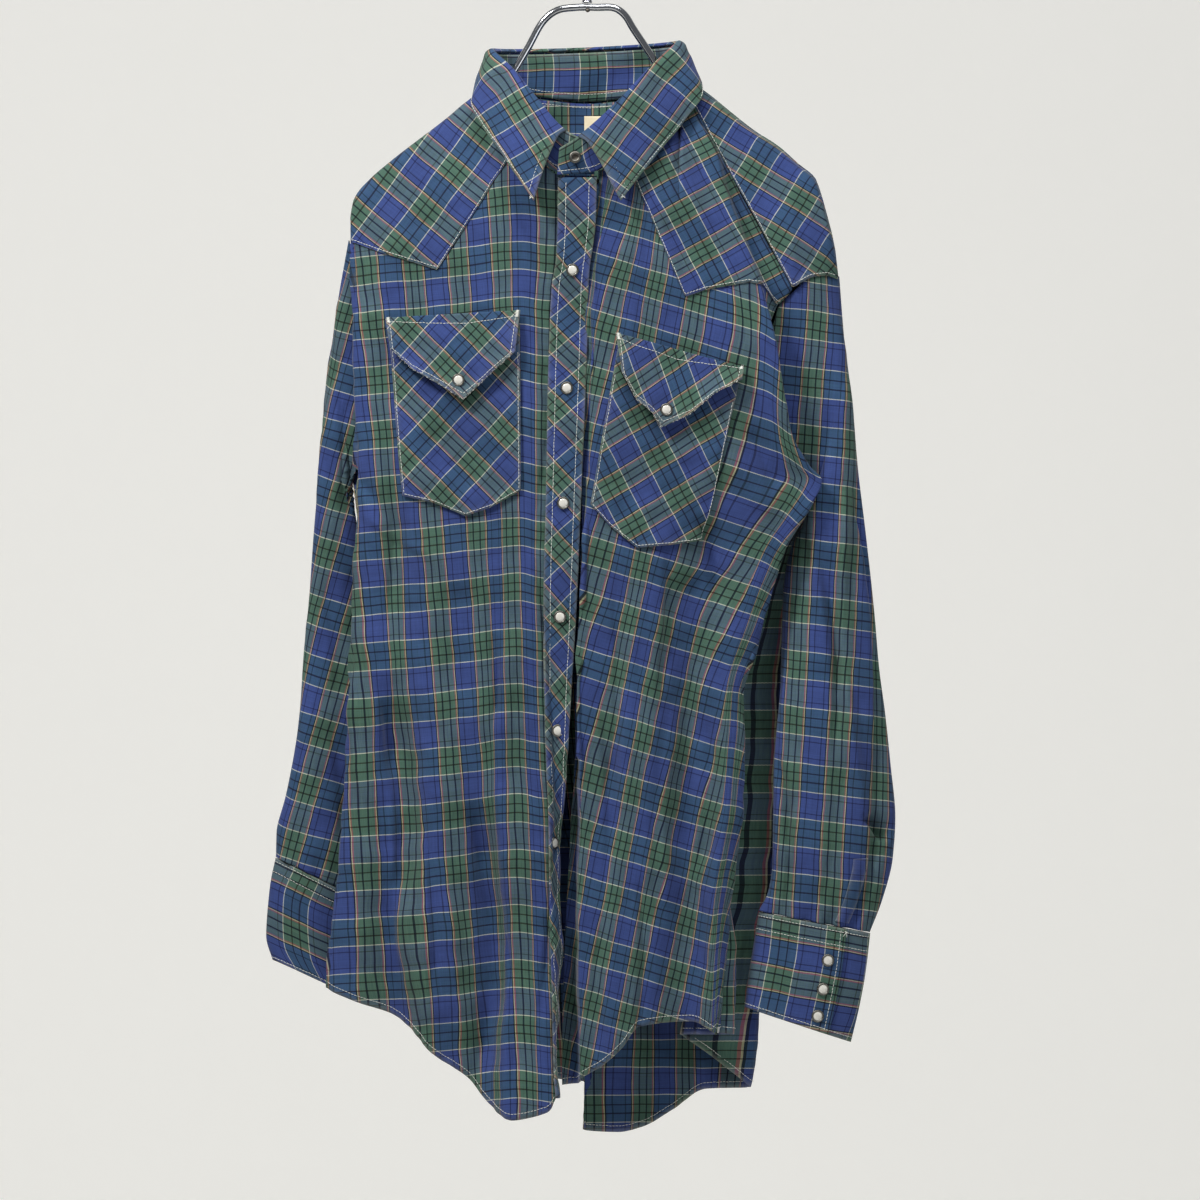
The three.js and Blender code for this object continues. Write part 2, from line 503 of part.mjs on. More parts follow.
// The first section of a cuff: the sleeve's last, a seam's width lower.
function under(sleeve) {
  const [outerX, outerY, outerZ, innerX, innerY, innerZ, half] = sleeve[sleeve.length - 1];
  return [outerX, outerY, outerZ - 2 * SEAM, innerX, innerY, innerZ - 2 * SEAM, half];
}
const RIGHT_CUFF = [
  under(RIGHT_SLEEVE), [-254, 9, -768, -165, 28, -815, 12.5],
  [-257, 8, -806, -166, 27, -845, 12], [-252, 8, -826, -167, 26, -866, 11.5],
];
const LEFT_CUFF = [
  under(LEFT_SLEEVE), [223, 0, -835, 134, -6, -815, 13.5],
  [217.5, 0, -865, 130, -6, -840, 13], [211, 0, -892, 127, -6, -864, 12.5],
];

// Points of a sleeve or cuff: for each angle a column of points down it.
function limb(first, rows, steps) {
  const rings = [...(first ? [first] : []), ...rows.map(ring)];
  const keys = rings.map((_, i) => i);
  return ANGLES.map((_, k) => {
    const xs = rings.map((r) => r[k].x);
    const ys = rings.map((r) => r[k].y);
    const zs = rings.map((r) => r[k].z);
    return even(steps).map((s) => {
      const key = s * (rings.length - 1);
      return v3(along(keys, xs, key), along(keys, ys, key), along(keys, zs, key));
    });
  });
}
function sleeves() {
  const right = limb(armhole(RIGHT_ARMHOLE), RIGHT_SLEEVE, 13);
  const left = limb(armhole(LEFT_ARMHOLE), LEFT_SLEEVE, 14);
  add("right_sleeve", wall(trim(right, { upper: 2 * SEAM }), CLOTH, true), PLAID);
  add("left_sleeve", wall(trim(left, { upper: 2 * SEAM }), CLOTH, true), PLAID);
  add("right_cuff", wall(limb(null, RIGHT_CUFF, 4), DOUBLE, true), PLAID);
  add("left_cuff", wall(limb(null, LEFT_CUFF, 4), DOUBLE, true), PLAID);
}

// Collar stand: its seam lies just over the panels' upper edges and its upper edge is the collar's fold.
// Columns: share round the neck, neck seam x, y, z, fold x, y, z.
const STAND = table([
  [0, 6, -42, -197.5, 6, -43.5, -173], [5, -22, -42.8, -196, -16, -47.5, -163],
  [12, -45, -37.5, -174.5, -40, -42, -137.5],
  [20, -66, -22, -148, -60, -26, -114], [29, -76.5, 0, -125.5, -74, -1, -100],
  [37, -62, 24.5, -127, -62, 27, -99], [44, -35, 38.5, -132.5, -36, 44, -98],
  [52, 0, 43.5, -135.5, 0, 50, -96.5], [60, 32, 38.5, -132.5, 33, 44, -95],
  [67, 58, 24.5, -125, 58, 27, -94], [75, 73.5, 0, -117.5, 71, -1, -93.5],
  [84, 60, -21.5, -143, 49, -28, -115],
  [92, 38, -36, -170, 23, -43, -141], [97, 5, -46.5, -195.5, -8, -50, -168],
  [100, -24, -47.2, -198, -22, -51, -177],
]);
// Columns: share round the neck, outer edge x, y, z.
const LEAF_EDGE = table([
  [5, -42.5, -58, -219], [12, -65, -48, -186], [20, -84, -29, -157], [25, -92.5, -16, -139],
  [29, -90.5, 1, -130.5], [37, -82, 36, -138],
  [44, -46, 56, -143], [52, 0, 62, -144], [60, 42, 56, -140], [67, 79, 36, -131],
  [75, 91, 1, -123.5], [79, 92.5, -16, -133],
  [84, 77, -27, -155], [92, 52, -47, -187], [97, 27, -58, -219],
]);
// Rows down the leaf. Columns: share of the fall, distance out from the fold, height over it.
const LEAF_ROWS = [
  [0, 0.4, 2.4], [0.02, 2.8, 4.8], [0.08, 5.8, 3.6], [0.2, 6.2, 0], [0.5, 5, 0], [0.78, 2.5, 0], [1, 0, 0],
];

// Depth and height of the neck seam: over the panels' edges, but free at the two ends that overlap in front.
const NECK_LIFT = 1.7;
const FREE_ENDS = [8, 95]; // shares round the neck between which the stand follows the panels
const SHOULDERS = [29, 75];
function neckSeam(t, x, y, z) {
  if (t < FREE_ENDS[0] || t > FREE_ENDS[1]) return [y, z];
  const front = t < SHOULDERS[0] ? topRightFront : topLeftFront;
  const top = t < SHOULDERS[0] || t > SHOULDERS[1] ? front : topBack;
  const [edgeZ, edgeY] = top(x);
  return [edgeY, edgeZ + NECK_LIFT];
}

function collar() {
  const around = (from, to, count) => even(count).map((s) => lerp(from, to, s));
  const stand = around(0, 100, 34).map((t) => {
    const [nx, ny, nz, fx, fy, fz] = STAND(t);
    const [seamY, seamZ] = neckSeam(t, nx, ny, nz);
    return [0, 0.5, 1].map((s) => v3(lerp(fx, nx, s), lerp(fy, seamY, s), lerp(fz, seamZ, s)));
  });
  add("collar_stand", wall(stand, DOUBLE), BIAS_PLAID);
  const leaf = around(5, 97, 32).map((t) => {
    const [, , , fx, fy, fz] = STAND(t);
    const [ex, ey, ez] = LEAF_EDGE(t);
    const away = v3(ex - fx * 0.8, ey - fy * 0.8, 0).normalize();
    return LEAF_ROWS.map(([fall, out, up]) =>
      v3(lerp(fx, ex, fall), lerp(fy, ey, fall), lerp(fz, ez, fall) + up).addScaledVector(away, out));
  });
  add("collar_leaf", wall(leaf, DOUBLE), PLAID);
}

// The width across a panel where it passes an x at a height.
function widthAt(surface, folds, x, z) {
  let low = folds[0].across;
  let high = folds[folds.length - 1].across;
  const rising = surface(high, z).x > surface(low, z).x;
  for (let i = 0; i < 30; i += 1) {
    const middle = (low + high) / 2;
    if (surface(middle, z).x < x === rising) low = middle;
    else high = middle;
  }
  return (low + high) / 2;
}

// The place on a panel at an x and a height, moved out from the panel's middle by a distance.
function onPanel(surface, folds, x, z, out) {
  return lifted(surface, widthAt(surface, folds, x, z), z, out);
}
function lifted(surface, across, z, out) {
  const p = surface(across, z);
  const n = outOf(surface, across, z);
  return p.addScaledVector(n, out);
}
function outOf(surface, across, z) {
  const u = surface(across + 3, z).sub(surface(across - 3, z));
  const w = surface(across, z + 3).sub(surface(across, z - 3));
  const n = u.cross(w).normalize();
  const outside = surface === back ? 1 : -1;
  return n.y * outside < 0 ? n.negate() : n;
}

const PLACKET_OUT = (CLOTH + DOUBLE) / 2 + 2 * LIE;
const PLACKET = { left: 178, right: 205, top: -200, hem: -936 }; // widths across the right front, and heights
function frontPlacket() {
  const { left, right, top, hem } = PLACKET;
  const grid = even(4).map((c) => even(26).map((s) =>
    lifted(rightFront, lerp(left, right, c), lerp(top, hem, s), PLACKET_OUT)));
  add("front_placket", wall(grid, DOUBLE), BIAS_PLAID);
}

// Pockets and flaps, laid on the fronts. Their upper and lower edges are points of x and z from side to side.
const POCKET_OUT = CLOTH + 3 * LIE;
const FLAP_OUT = POCKET_OUT + CLOTH + 1.5 * LIE;
const FLAP_CURL = 2.5; // how far the flap's points stand off
const POCKETS = [
  { side: "right", surface: rightFront, folds: RIGHT_FRONT_FOLDS,
    upper: [[-159.5, -316], [-53.5, -318]],
    lower: [[-147, -454], [-122, -460], [-97, -470.5], [-75, -463], [-53, -450]],
    flapUpper: [[-160.5, -312], [-53, -306]],
    flapLower: [[-156, -336], [-138, -353], [-115, -367], [-98.5, -377.5], [-81, -362], [-57, -339]],
    snap: { x: -102.4, z: -362, lift: 1.9 } },
  { side: "left", surface: leftFront, folds: LEFT_FRONT_FOLDS,
    upper: [[24.5, -337], [120.5, -365]],
    lower: [[3, -461], [19, -479], [40, -496], [66, -493.5], [92, -490], [101.5, -452]],
    flapUpper: [[23, -324], [124.5, -352]],
    flapLower: [[28, -355], [39, -377], [52, -388], [59.5, -399.5], [82, -389], [101, -372], [121.5, -361]],
    snap: { x: 63.2, z: -385.6, lift: 1.7 } },
];
const rowOf = (points) => {
  const place = table(points.map(([x, z], i) => [i / (points.length - 1), x, z]));
  return (share) => place(share);
};
function pocket(spec) {
  const lay = (upper, lower, columns, rows, out, curl) => even(columns).map((s) => {
    const [ux, uz] = rowOf(upper)(s);
    const [lx, lz] = rowOf(lower)(s);
    return even(rows).map((r) =>
      onPanel(spec.surface, spec.folds, lerp(ux, lx, r), lerp(uz, lz, r), out + curl * r * r));
  });
  const bag = lay(spec.upper, spec.lower, 8, 7, POCKET_OUT, 0);
  const flap = lay(spec.flapUpper, spec.flapLower, 12, 4, FLAP_OUT, FLAP_CURL);
  add(spec.side + "_pocket", wall(bag, CLOTH), BIAS_PLAID);
  add(spec.side + "_pocket_flap", wall(flap, CLOTH), BIAS_PLAID);
}

function neckLabel() {
  const grid = even(3).map((s) => even(3).map((r) =>
    onPanel(back, BACK_FOLDS, lerp(-2.4, 14.4, s), lerp(-150.5, -167.2, r), -(CLOTH + 2 * LIE))));
  add("neck_label", wall(grid, 1), LABEL);
}

const FRONT_SNAPS = [-273.6, -368, -460, -551, -642, -732]; // heights down the placket
const NECK_SNAP = { x: -9.5, y: -49.3, z: -184 };
const CUFF_SNAPS = [0.3, 0.56, 0.82]; // shares down the cuff

// A snap cap: a domed pearl disc in its metal rim, turned to stand on the cloth.
function snap(name, place, direction) {
  const profile = [[0, 0], [0.86, 0], [1, 0.25], [1, 0.6], [0.8, 1], [0, 0.9]];
  const geometry = new THREE.LatheGeometry(
    profile.map(([r, h]) => new THREE.Vector2(r * CAP_RADIUS, h * CAP_HEIGHT)), 10);
  const mesh = add(name, geometry, PEARL);
  mesh.position.copy(place);
  mesh.quaternion.setFromUnitVectors(v3(0, 1, 0), direction);
}
function snaps() {
  const onFront = PLACKET_OUT + DOUBLE / 2 + CAP_SEAT;
  const middle = (PLACKET.left + PLACKET.right) / 2;
  FRONT_SNAPS.forEach((z, i) => {
    snap("front_snap_" + (i + 1), lifted(rightFront, middle, z, onFront), outOf(rightFront, middle, z));
  });
  const flapTop = FLAP_OUT + CLOTH / 2 + CAP_SEAT;
  for (const spec of POCKETS) {
    const { x, z, lift } = spec.snap;
    const place = onPanel(spec.surface, spec.folds, x, z, flapTop + lift);
    const foot = onPanel(spec.surface, spec.folds, x, z, 0);
    snap(spec.side + "_flap_snap", place, place.clone().sub(foot).normalize());
  }
  const neck = v3(NECK_SNAP.x, NECK_SNAP.y - CAP_SEAT - DOUBLE / 2, NECK_SNAP.z);
  snap("neck_snap", neck, v3(0, -1, 0.1).normalize());
  cuffSnaps("left", LEFT_CUFF, 3, -1);
  cuffSnaps("right", RIGHT_CUFF, 12, 1);
}

// Snaps down the flat of a cuff between one of its sides and the next. Facing is -1 in front and 1 behind.
function cuffSnaps(side, rows, first, facing) {
  const steps = 50;
  const grid = limb(null, rows, steps);
  CUFF_SNAPS.forEach((share, i) => {
    const j = Math.round(share * steps);
    const across = grid[first + 1][j].clone().sub(grid[first][j]);
    const down = grid[first][j + 1].clone().sub(grid[first][j - 1]);
    const n = across.clone().cross(down).normalize();
    if (n.y * facing < 0) n.negate();
    const middle = grid[first][j].clone().addScaledVector(across, 0.3);
    const place = middle.addScaledVector(n, DOUBLE / 2 + CAP_SEAT);
    snap(side + "_cuff_snap_" + (i + 1), place, n);
  });
}

// The strip that binds each sleeve's slit, laid on the sleeve above its cuff.
function sleevePlackets() {
  for (const [side, hole, rows, start] of [
    ["left", LEFT_ARMHOLE, LEFT_SLEEVE, 2], ["right", RIGHT_ARMHOLE, RIGHT_SLEEVE, 14]]) {
    const grid = limb(armhole(hole), rows, 60);
    const out = normals(grid, true);
    const strip = [0, 1].map((c) => even(8).map((s) => {
      const j = Math.round(lerp(50, 59, s));
      const k = (start + c) % SLEEVE_SIDES;
      const n = out[k][j].clone();
      const middle = grid[(k + 8) % SLEEVE_SIDES][j];
      if (n.dot(grid[k][j].clone().sub(middle)) < 0) n.negate();
      return grid[k][j].clone().addScaledVector(n, CLOTH + LIE);
    }));
    add(side + "_sleeve_placket", wall(strip, CLOTH), PLAID);
  }
}

// Hanger: one bent bar, and a wire hook with a ferrule where it leaves the bar.
function rod(points, radius, sides, steps) {
  const section = new THREE.Shape();
  even(sides - 1).forEach((_, i) => {
    const turn = (i * 2 * Math.PI) / sides;
    const [x, y] = [radius * Math.cos(turn), radius * Math.sin(turn)];
    if (i === 0) section.moveTo(x, y);
    else section.lineTo(x, y);
  });
  const path = new THREE.CatmullRomCurve3(points, false, "centripetal");
  return new THREE.ExtrudeGeometry(section, { steps, extrudePath: path, curveSegments: 1 });
}
function hanger() {
  const bar = [
    [-174, -211], [-150, -189], [-123, -168], [-97, -147.5], [-78, -134], [-62, -118], [-48, -95.5],
    [-35, -73], [-24, -64.5], [-8, -62.1], [8, -62.1], [22, -62.6], [30, -68], [37, -79], [50, -98.5],
    [61.5, -116.5], [77, -133], [96, -145.5], [133, -172.5], [162, -193.5], [174, -204],
  ].map(([x, z]) => v3(x, 0, z));
  add("hanger_bar", rod(bar, BAR_RADIUS, 8, 40), CHROME);
  const profile = [[0, 0], [1, 0], [1, 0.7], [0.75, 1], [0, 1]];
  const ferrule = new THREE.LatheGeometry(
    profile.map(([r, h]) => new THREE.Vector2(r * FERRULE_RADIUS, h * FERRULE_HEIGHT)), 14);
  const ferruleMesh = add("hook_ferrule", ferrule, CHROME);
  ferruleMesh.rotation.x = Math.PI / 2;
  ferruleMesh.position.z = BAR_TOP + SEAM;
  const centre = HOOK_WIRE - HOOK_RADIUS;
  const arc = even(14).map((s) => {
    const turn = THREE.MathUtils.degToRad(lerp(-50, 200, s));
    return v3(HOOK_RADIUS * Math.cos(turn), 0, centre + HOOK_RADIUS * Math.sin(turn));
  });
  const stem = [v3(0, 0, BAR_TOP + FERRULE_HEIGHT + 2 * SEAM), v3(0, 0, -45), v3(3.5, 0, -38.5)];
  add("hook", rod([...stem, ...arc], HOOK_WIRE, 8, 32), CHROME);
}

fronts();
frontYokes();
backPanel();
backYoke();
sleeves();
collar();
frontPlacket();
POCKETS.forEach(pocket);
neckLabel();
snaps();
sleevePlackets();
hanger();

export default shirt;
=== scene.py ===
"""A western snap shirt on a chrome hanger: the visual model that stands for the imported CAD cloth.

The tables are in millimetres, and most repeat the part's own. +X is the viewer's right, -Y is towards the
viewer, +Z is up.
Blender works in metres, so points are divided by 1000 when they go into a mesh.
"""
import math

import bmesh
import bpy
import numpy as np
from mathutils import Matrix, Vector


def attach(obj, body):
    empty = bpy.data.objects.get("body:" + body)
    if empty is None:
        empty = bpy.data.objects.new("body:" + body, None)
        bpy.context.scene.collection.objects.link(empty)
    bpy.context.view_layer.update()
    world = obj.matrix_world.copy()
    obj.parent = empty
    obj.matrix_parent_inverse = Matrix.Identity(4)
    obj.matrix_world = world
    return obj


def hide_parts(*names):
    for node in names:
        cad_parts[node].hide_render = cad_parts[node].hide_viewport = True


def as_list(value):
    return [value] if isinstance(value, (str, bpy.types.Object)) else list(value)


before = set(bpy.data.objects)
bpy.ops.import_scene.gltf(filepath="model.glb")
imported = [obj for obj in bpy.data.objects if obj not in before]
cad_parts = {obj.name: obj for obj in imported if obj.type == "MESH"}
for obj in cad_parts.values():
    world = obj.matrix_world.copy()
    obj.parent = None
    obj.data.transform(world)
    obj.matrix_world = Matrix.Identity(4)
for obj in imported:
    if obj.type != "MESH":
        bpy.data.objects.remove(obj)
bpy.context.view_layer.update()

# Cloth walls and gaps, in millimetres
THIN = 0.85  # one layer
PANEL_OUT = -0.4  # the panels' cloth, inwards from the solid's face
YOKE_OUT = 0.75  # the yokes, over the panels
HEM_UP = 5  # the hem's stitches above its edge
NORMAL_STEP = 1.5
TURNED = 1.5  # two layers turned and topstitched
ROLL = 9  # depth over which the cloth rounds over the hanger's arms
ROLL_DEPTH = 6.5
HANG = 115  # depth over which it then comes to its own folds
NECK_FALL = 60
NECK_ROLL = 12
PLACKET_OUT = 2.7
POCKET_OUT = 2.4
FLAP_OUT = 5.0
FLAP_CURL = 6.0

# Upper edges of the body. Columns: x, z, y.
RIDGE_RIGHT = [
    [-190, -248, 0], [-189, -232, 0], [-186, -216, 0], [-174, -201, 0], [-158, -187, 0],
    [-110, -150, 0], [-97, -139, 0], [-78, -127.5, 0],
]
RIDGE_LEFT = [
    [74, -119.5, 0], [82, -123, 0], [94, -130, 0], [114, -146, 0], [133, -161, 0],
    [153, -174, 0], [170, -189, 0], [182, -199, 0], [186, -209, 0], [192, -230, 0],
    [198, -255, 0], [201, -279, 0],
]
FRONT_NECK_RIGHT = [
    [-76, -129, -4], [-66, -150, -22], [-45, -176, -37], [-22, -198, -43], [10, -199, -43.5],
]
FRONT_NECK_LEFT = [
    [-5, -198.5, -43], [5, -197, -43], [38, -172.5, -36], [60, -145.5, -21.5], [72.5, -122, -4],
]
BACK_NECK = [
    [-76, -127.5, 3], [-62, -129, 24.5], [-35, -134.5, 38.5], [0, -137.5, 43.5],
    [32, -134.5, 38.5], [58, -127.2, 24.5], [72, -120.5, 3],
]
# Armholes. Columns: turn round the sleeve in degrees, x, y, z.
RIGHT_ARMHOLE = [
    [0, -191, 2, -249], [35, -187, -2.5, -272], [65, -181.5, -4, -312], [95, -180.5, -3.5, -362],
    [125, -182.5, -1.5, -412], [155, -189, 3, -443], [180, -193, 6, -453], [205, -191, 12, -438],
    [240, -185, 17.5, -392], [285, -182, 18.5, -332], [325, -185, 12, -278],
]
LEFT_ARMHOLE = [
    [0, 202, 0, -278], [22, 182, -12.5, -276], [40, 166.5, -15.5, -289.5], [55, 154, -14, -301],
    [80, 146, -12.5, -346], [105, 150, -10.5, -396], [140, 171, -4, -427], [180, 184, 4, -442],
    [215, 178, 14, -427], [250, 174.5, 20.5, -386], [285, 178, 19.5, -331], [325, 191, 13, -301],
]
# Side seams. Columns: z, x, y.
RIGHT_SIDE_SEAM = [
    [-458, -187, 0], [-500, -184, -5], [-620, -186, -6], [-700, -190, -6], [-780, -197, -6],
    [-850, -203.5, -6],
]
LEFT_SIDE_SEAM = [
    [-446, 179, -2], [-470, 170, -10], [-506, 149, -13], [-551, 137, -15], [-613, 119, -15],
    [-700, 119, -15],
    [-780, 110, -19], [-817, 111, -24], [-854, 108, -25], [-890, 106, -25],
]
# Lines down each panel: name, width across the panel, and rows of z, x, y.
RIGHT_FRONT_FOLDS = [
    ("armhole and side seam", 0, [
        [-250, -188.5, -2], [-272, -186, -5], [-312, -181, -7], [-362, -179.5, -6.5],
        [-412, -181.5, -4.5], [-443, -186.5, -1], *RIGHT_SIDE_SEAM]),
    ("fold in front of the sleeve", 11, [
        [-228, -189, -9], [-300, -187, -15], [-400, -185, -16], [-480, -185, -16], [-520, -187, -15],
        [-620, -190, -15], [-700, -195, -15], [-758, -199, -14], [-814, -205.6, -13], [-850, -208.4, -13]]),
    ("side ridge", 28, [
        [-250, -174, -20], [-400, -172, -22], [-620, -171, -23], [-700, -176, -23],
        [-780, -180, -22], [-850, -186, -20]]),
    ("outer trough", 48, [
        [-250, -156, -23], [-400, -155, -25], [-560, -154, -23], [-700, -153, -15],
        [-780, -156, -11], [-860, -155, -9]]),
    ("middle ridge", 82, [
        [-250, -124, -27], [-400, -125, -31], [-620, -125, -31], [-780, -127, -31], [-900, -128, -29]]),
    ("inner trough", 118, [
        [-280, -90, -30], [-400, -90, -33], [-600, -89, -32], [-700, -89, -29], [-800, -89, -21],
        [-925, -88, -14]]),
    ("inner ridge", 151, [
        [-230, -57, -36], [-400, -58, -36], [-700, -59, -35], [-955, -60, -33]]),
    ("left edge of the front placket", 178, [
        [-199, -23, -43], [-235, -23.5, -40], [-262, -24.5, -38], [-290, -28.5, -37], [-340, -30.5, -36.5],
        [-440, -32.5, -36], [-540, -34.5, -35.5], [-617, -34, -35], [-730, -30.5, -35],
        [-842, -28.5, -34], [-935, -27, -32]]),
    ("front edge", 205, [
        [-199, 8, -43.5], [-235, 7, -40], [-280, 1.5, -36.5], [-340, 0, -36], [-440, -4, -35.5],
        [-537, -8, -35], [-617, -13, -33], [-680, -18, -29], [-730, -21.5, -26], [-800, -24, -23],
        [-860, -25.5, -22], [-935, -25.5, -22]]),
]
LEFT_FRONT_FOLDS = [
    ("seam at the placket", 0, [
        [-199, 10, -40], [-235, 8, -37], [-280, 1, -34.5], [-340, -1, -34.5], [-440, -4.5, -34.5],
        [-537, -4.5, -36], [-617, -9, -26], [-730, -14, -16], [-800, -17, -14], [-860, -19, -14],
        [-935, -19.5, -16]]),
    ("trough beside the placket", 12, [
        [-199, 14, -42], [-235, 12, -41], [-280, 6.5, -39.5], [-340, 4.5, -39.5], [-440, 1, -38.5],
        [-537, -1, -30], [-617, -5, -20], [-730, -8, -13], [-860, -11, -12], [-935, -12, -14]]),
    ("fold beside the placket", 30, [
        [-199, 19, -42], [-218, 15, -43], [-280, 7, -44], [-340, 4.5, -44], [-440, 1, -44],
        [-537, -3.5, -43], [-617, -7, -42], [-730, -5.5, -40], [-858, -6, -38], [-925, -6, -36]]),
    ("inner flat", 52, [
        [-190, 36, -42], [-230, 34, -45], [-300, 27, -46], [-440, 24, -45], [-620, 18, -41],
        [-850, 13, -36], [-925, 12, -34]]),
    ("chest ridge", 86, [
        [-150, 52, -28], [-185, 55, -37], [-230, 57, -42], [-400, 58, -45], [-620, 48, -42],
        [-880, 43, -38]]),
    ("deep trough", 124, [
        [-140, 62, -20], [-185, 78, -31], [-229, 88, -37], [-285, 98, -40], [-350, 103, -42],
        [-430, 106, -41], [-470, 105, -38], [-508, 101, -33], [-530, 91, -28], [-574, 87, -24],
        [-621, 85, -22], [-860, 82, -21]]),
    ("side ridge", 148, [
        [-140, 71, -13], [-185, 91, -25], [-229, 105, -32], [-285, 123, -35], [-330, 136, -36],
        [-378, 144, -36], [-407, 151, -34], [-430, 159, -31], [-442, 164, -29], [-470, 154, -30],
        [-500, 140, -33], [-551, 126, -34], [-613, 112, -34], [-700, 110, -33], [-780, 102, -31],
        [-890, 100, -29]]),
    ("fold edge before the armhole", 162, [
        [-128, 74.8, -8], [-146, 83, -15], [-168, 97, -21], [-205, 110, -28], [-244, 122, -33],
        [-285, 137, -35], [-328, 150, -36], [-378, 158, -35], [-407, 164, -33], [-431, 178, -29],
        [-442, 188, -26], [-462, 179, -27], [-489, 162, -28], [-531, 147, -29], [-575, 135, -29],
        [-613, 124, -29], [-649, 126, -29], [-698, 124, -28], [-762, 117, -27], [-800, 110, -28],
        [-890, 103.5, -27]]),
    ("recess behind the fold", 173, [
        [-128, 75.6, -7], [-146, 84.6, -12], [-170, 100.5, -15], [-205, 113.5, -18], [-244, 125.5, -20],
        [-285, 140.5, -22.5], [-330, 148, -23], [-378, 154, -23], [-407, 160, -22], [-431, 174, -16],
        [-442, 184, -14], [-462, 176, -18], [-489, 160, -20], [-531, 145, -22], [-613, 122.5, -22],
        [-698, 122.5, -21], [-762, 115.5, -21], [-800, 111, -26], [-890, 105, -26]]),
    ("shoulder seam, armhole and side seam", 186, [
        [-124, 76.4, -6.5], [-142, 86, -9.5], [-191, 112, -13], [-240, 139, -16], [-264.5, 152, -17.5],
        [-283, 162, -18.5], [-288, 164.5, -19],
        [-295, 160, -19], [-305, 152.5, -17.5], [-346, 145, -16.5], [-396, 148.5, -14.5],
        [-426, 166, -9], *LEFT_SIDE_SEAM]),
]
BACK_FOLDS = [
    ("left armhole and side seam", 0, [
        [-279, 201, 1], [-301, 189, 13.5], [-331, 176.5, 20], [-386, 173, 21], [-427, 176.5, 13],
        *LEFT_SIDE_SEAM]),
    ("fold behind the side seam", 12, [
        [-250, 184, 15], [-301, 173, 18], [-386, 166, 22], [-427, 171, 16], [-445, 174, 6],
        [-470, 168, -3], [-506, 147, -6], [-551, 134, -8], [-613, 115, -8], [-700, 115, -8],
        [-750, 111, -9], [-780, 114, -13], [-817, 119, -20], [-854, 118.5, -19], [-890, 118, -18]]),
    ("tuck", 30, [
        [-230, 160, 17], [-301, 156, 21], [-386, 157, 24], [-441, 166, 15], [-470, 164, 5],
        [-506, 146, 4], [-551, 131, 4], [-613, 109, 4], [-700, 106, 2], [-780, 96, 0],
        [-817, 88, -4], [-890, 74, -5]]),
    ("fold beside the sleeve", 50, [
        [-200, 140, 16], [-301, 136, 23], [-386, 142, 26], [-441, 167, 25], [-470, 174, 22],
        [-506, 168, 27], [-551, 164, 31], [-613, 160, 32], [-700, 156, 31], [-780, 151, 26],
        [-870, 137.5, 16], [-906, 134.5, 15], [-929, 130.5, 15]]),
    ("right of the back", 90, [
        [-180, 95, 20], [-300, 95, 27], [-500, 98, 31], [-931, 95, 31]]),
    ("beside the centre", 160, [
        [-160, 30, 33], [-200, 30, 29], [-400, 30, 31], [-700, 30, 31], [-965, 25, 23]]),
    ("centre fold", 184, [
        [-160, 5, 36], [-200, 5, 30], [-400, 5, 32], [-700, 2, 32], [-850, -2.5, 25], [-965, -3, 21]]),
    ("behind the centre fold", 208, [
        [-160, -20, 33], [-200, -20, 30], [-500, -20, 33], [-700, -6, 35], [-850, 22, 33],
        [-950, 32, 32]]),
    ("left of the centre", 246, [
        [-160, -50, 26], [-200, -50, 27], [-400, -50, 30], [-600, -50, 32], [-850, -36, 37],
        [-930, -32, 37]]),
    ("left of the back", 306, [
        [-200, -110, 18], [-400, -110, 22], [-850, -110, 22], [-905, -110, 22]]),
    ("outer left", 346, [
        [-220, -155, 11], [-300, -153, 15], [-390, -152, 15], [-500, -152, 11], [-620, -152, 9],
        [-850, -160, 8]]),
    ("left fold", 366, [
        [-240, -182, 8], [-300, -173, 14], [-390, -172, 15], [-440, -178, 9], [-475, -178, 3],
        [-600, -177, 1], [-700, -181, 1], [-850, -191, 0]]),
    ("right armhole and side seam", 378, [
        [-250, -189, 1.5], [-278, -184, 11.5], [-332, -181, 17.5], [-392, -184, 16.5], [-438, -188, 9],
        *RIGHT_SIDE_SEAM]),
]
# Yoke edges and the tops of the fronts below them. Columns: x, z.
YOKE_EDGE_RIGHT = [
    [-190, -251], [-186, -251.5], [-164, -260], [-120, -273.5], [-86, -221], [-55, -172.5], [-52, -168.5],
]
FRONT_TOP_RIGHT = [*YOKE_EDGE_RIGHT[:6], [-52, -169.5], [-45, -176.5], [-22, -198], [10, -199]]
YOKE_EDGE_LEFT = [
    [31, -184], [42, -210], [60, -252], [78.5, -295.5], [94, -290], [130, -283.5], [141, -286], [152, -301],
]
FRONT_TOP_LEFT = [[-5, -198.5], [5, -197.5], [29, -181.5], *YOKE_EDGE_LEFT]
YOKE_EDGE_BACK = [
    [-190, -312], [-120, -292], [-60, -281], [0, -308], [60, -278], [130, -296], [205, -322],
]
# Hems. Columns: width across the panel, z.
HEM_RIGHT_FRONT = [
    [0, -846], [11, -848.5], [28, -859], [48, -870], [82, -897], [112, -921], [124, -937], [151, -954],
    [170, -948], [184, -934], [205, -930],
]
HEM_LEFT_FRONT = [
    [0, -926], [12, -925], [30, -921], [52, -910], [70, -896], [84, -879], [124, -875], [148, -883],
    [162, -885.5], [186, -884],
]
HEM_BACK = [
    [0, -884], [12, -885.5], [30, -886], [50, -929], [90, -931], [118, -948], [142, -961.5], [160, -965.5],
    [182, -963.5], [208, -948], [228, -926], [246, -922], [306, -900], [346, -866], [366, -849], [378, -846],
]
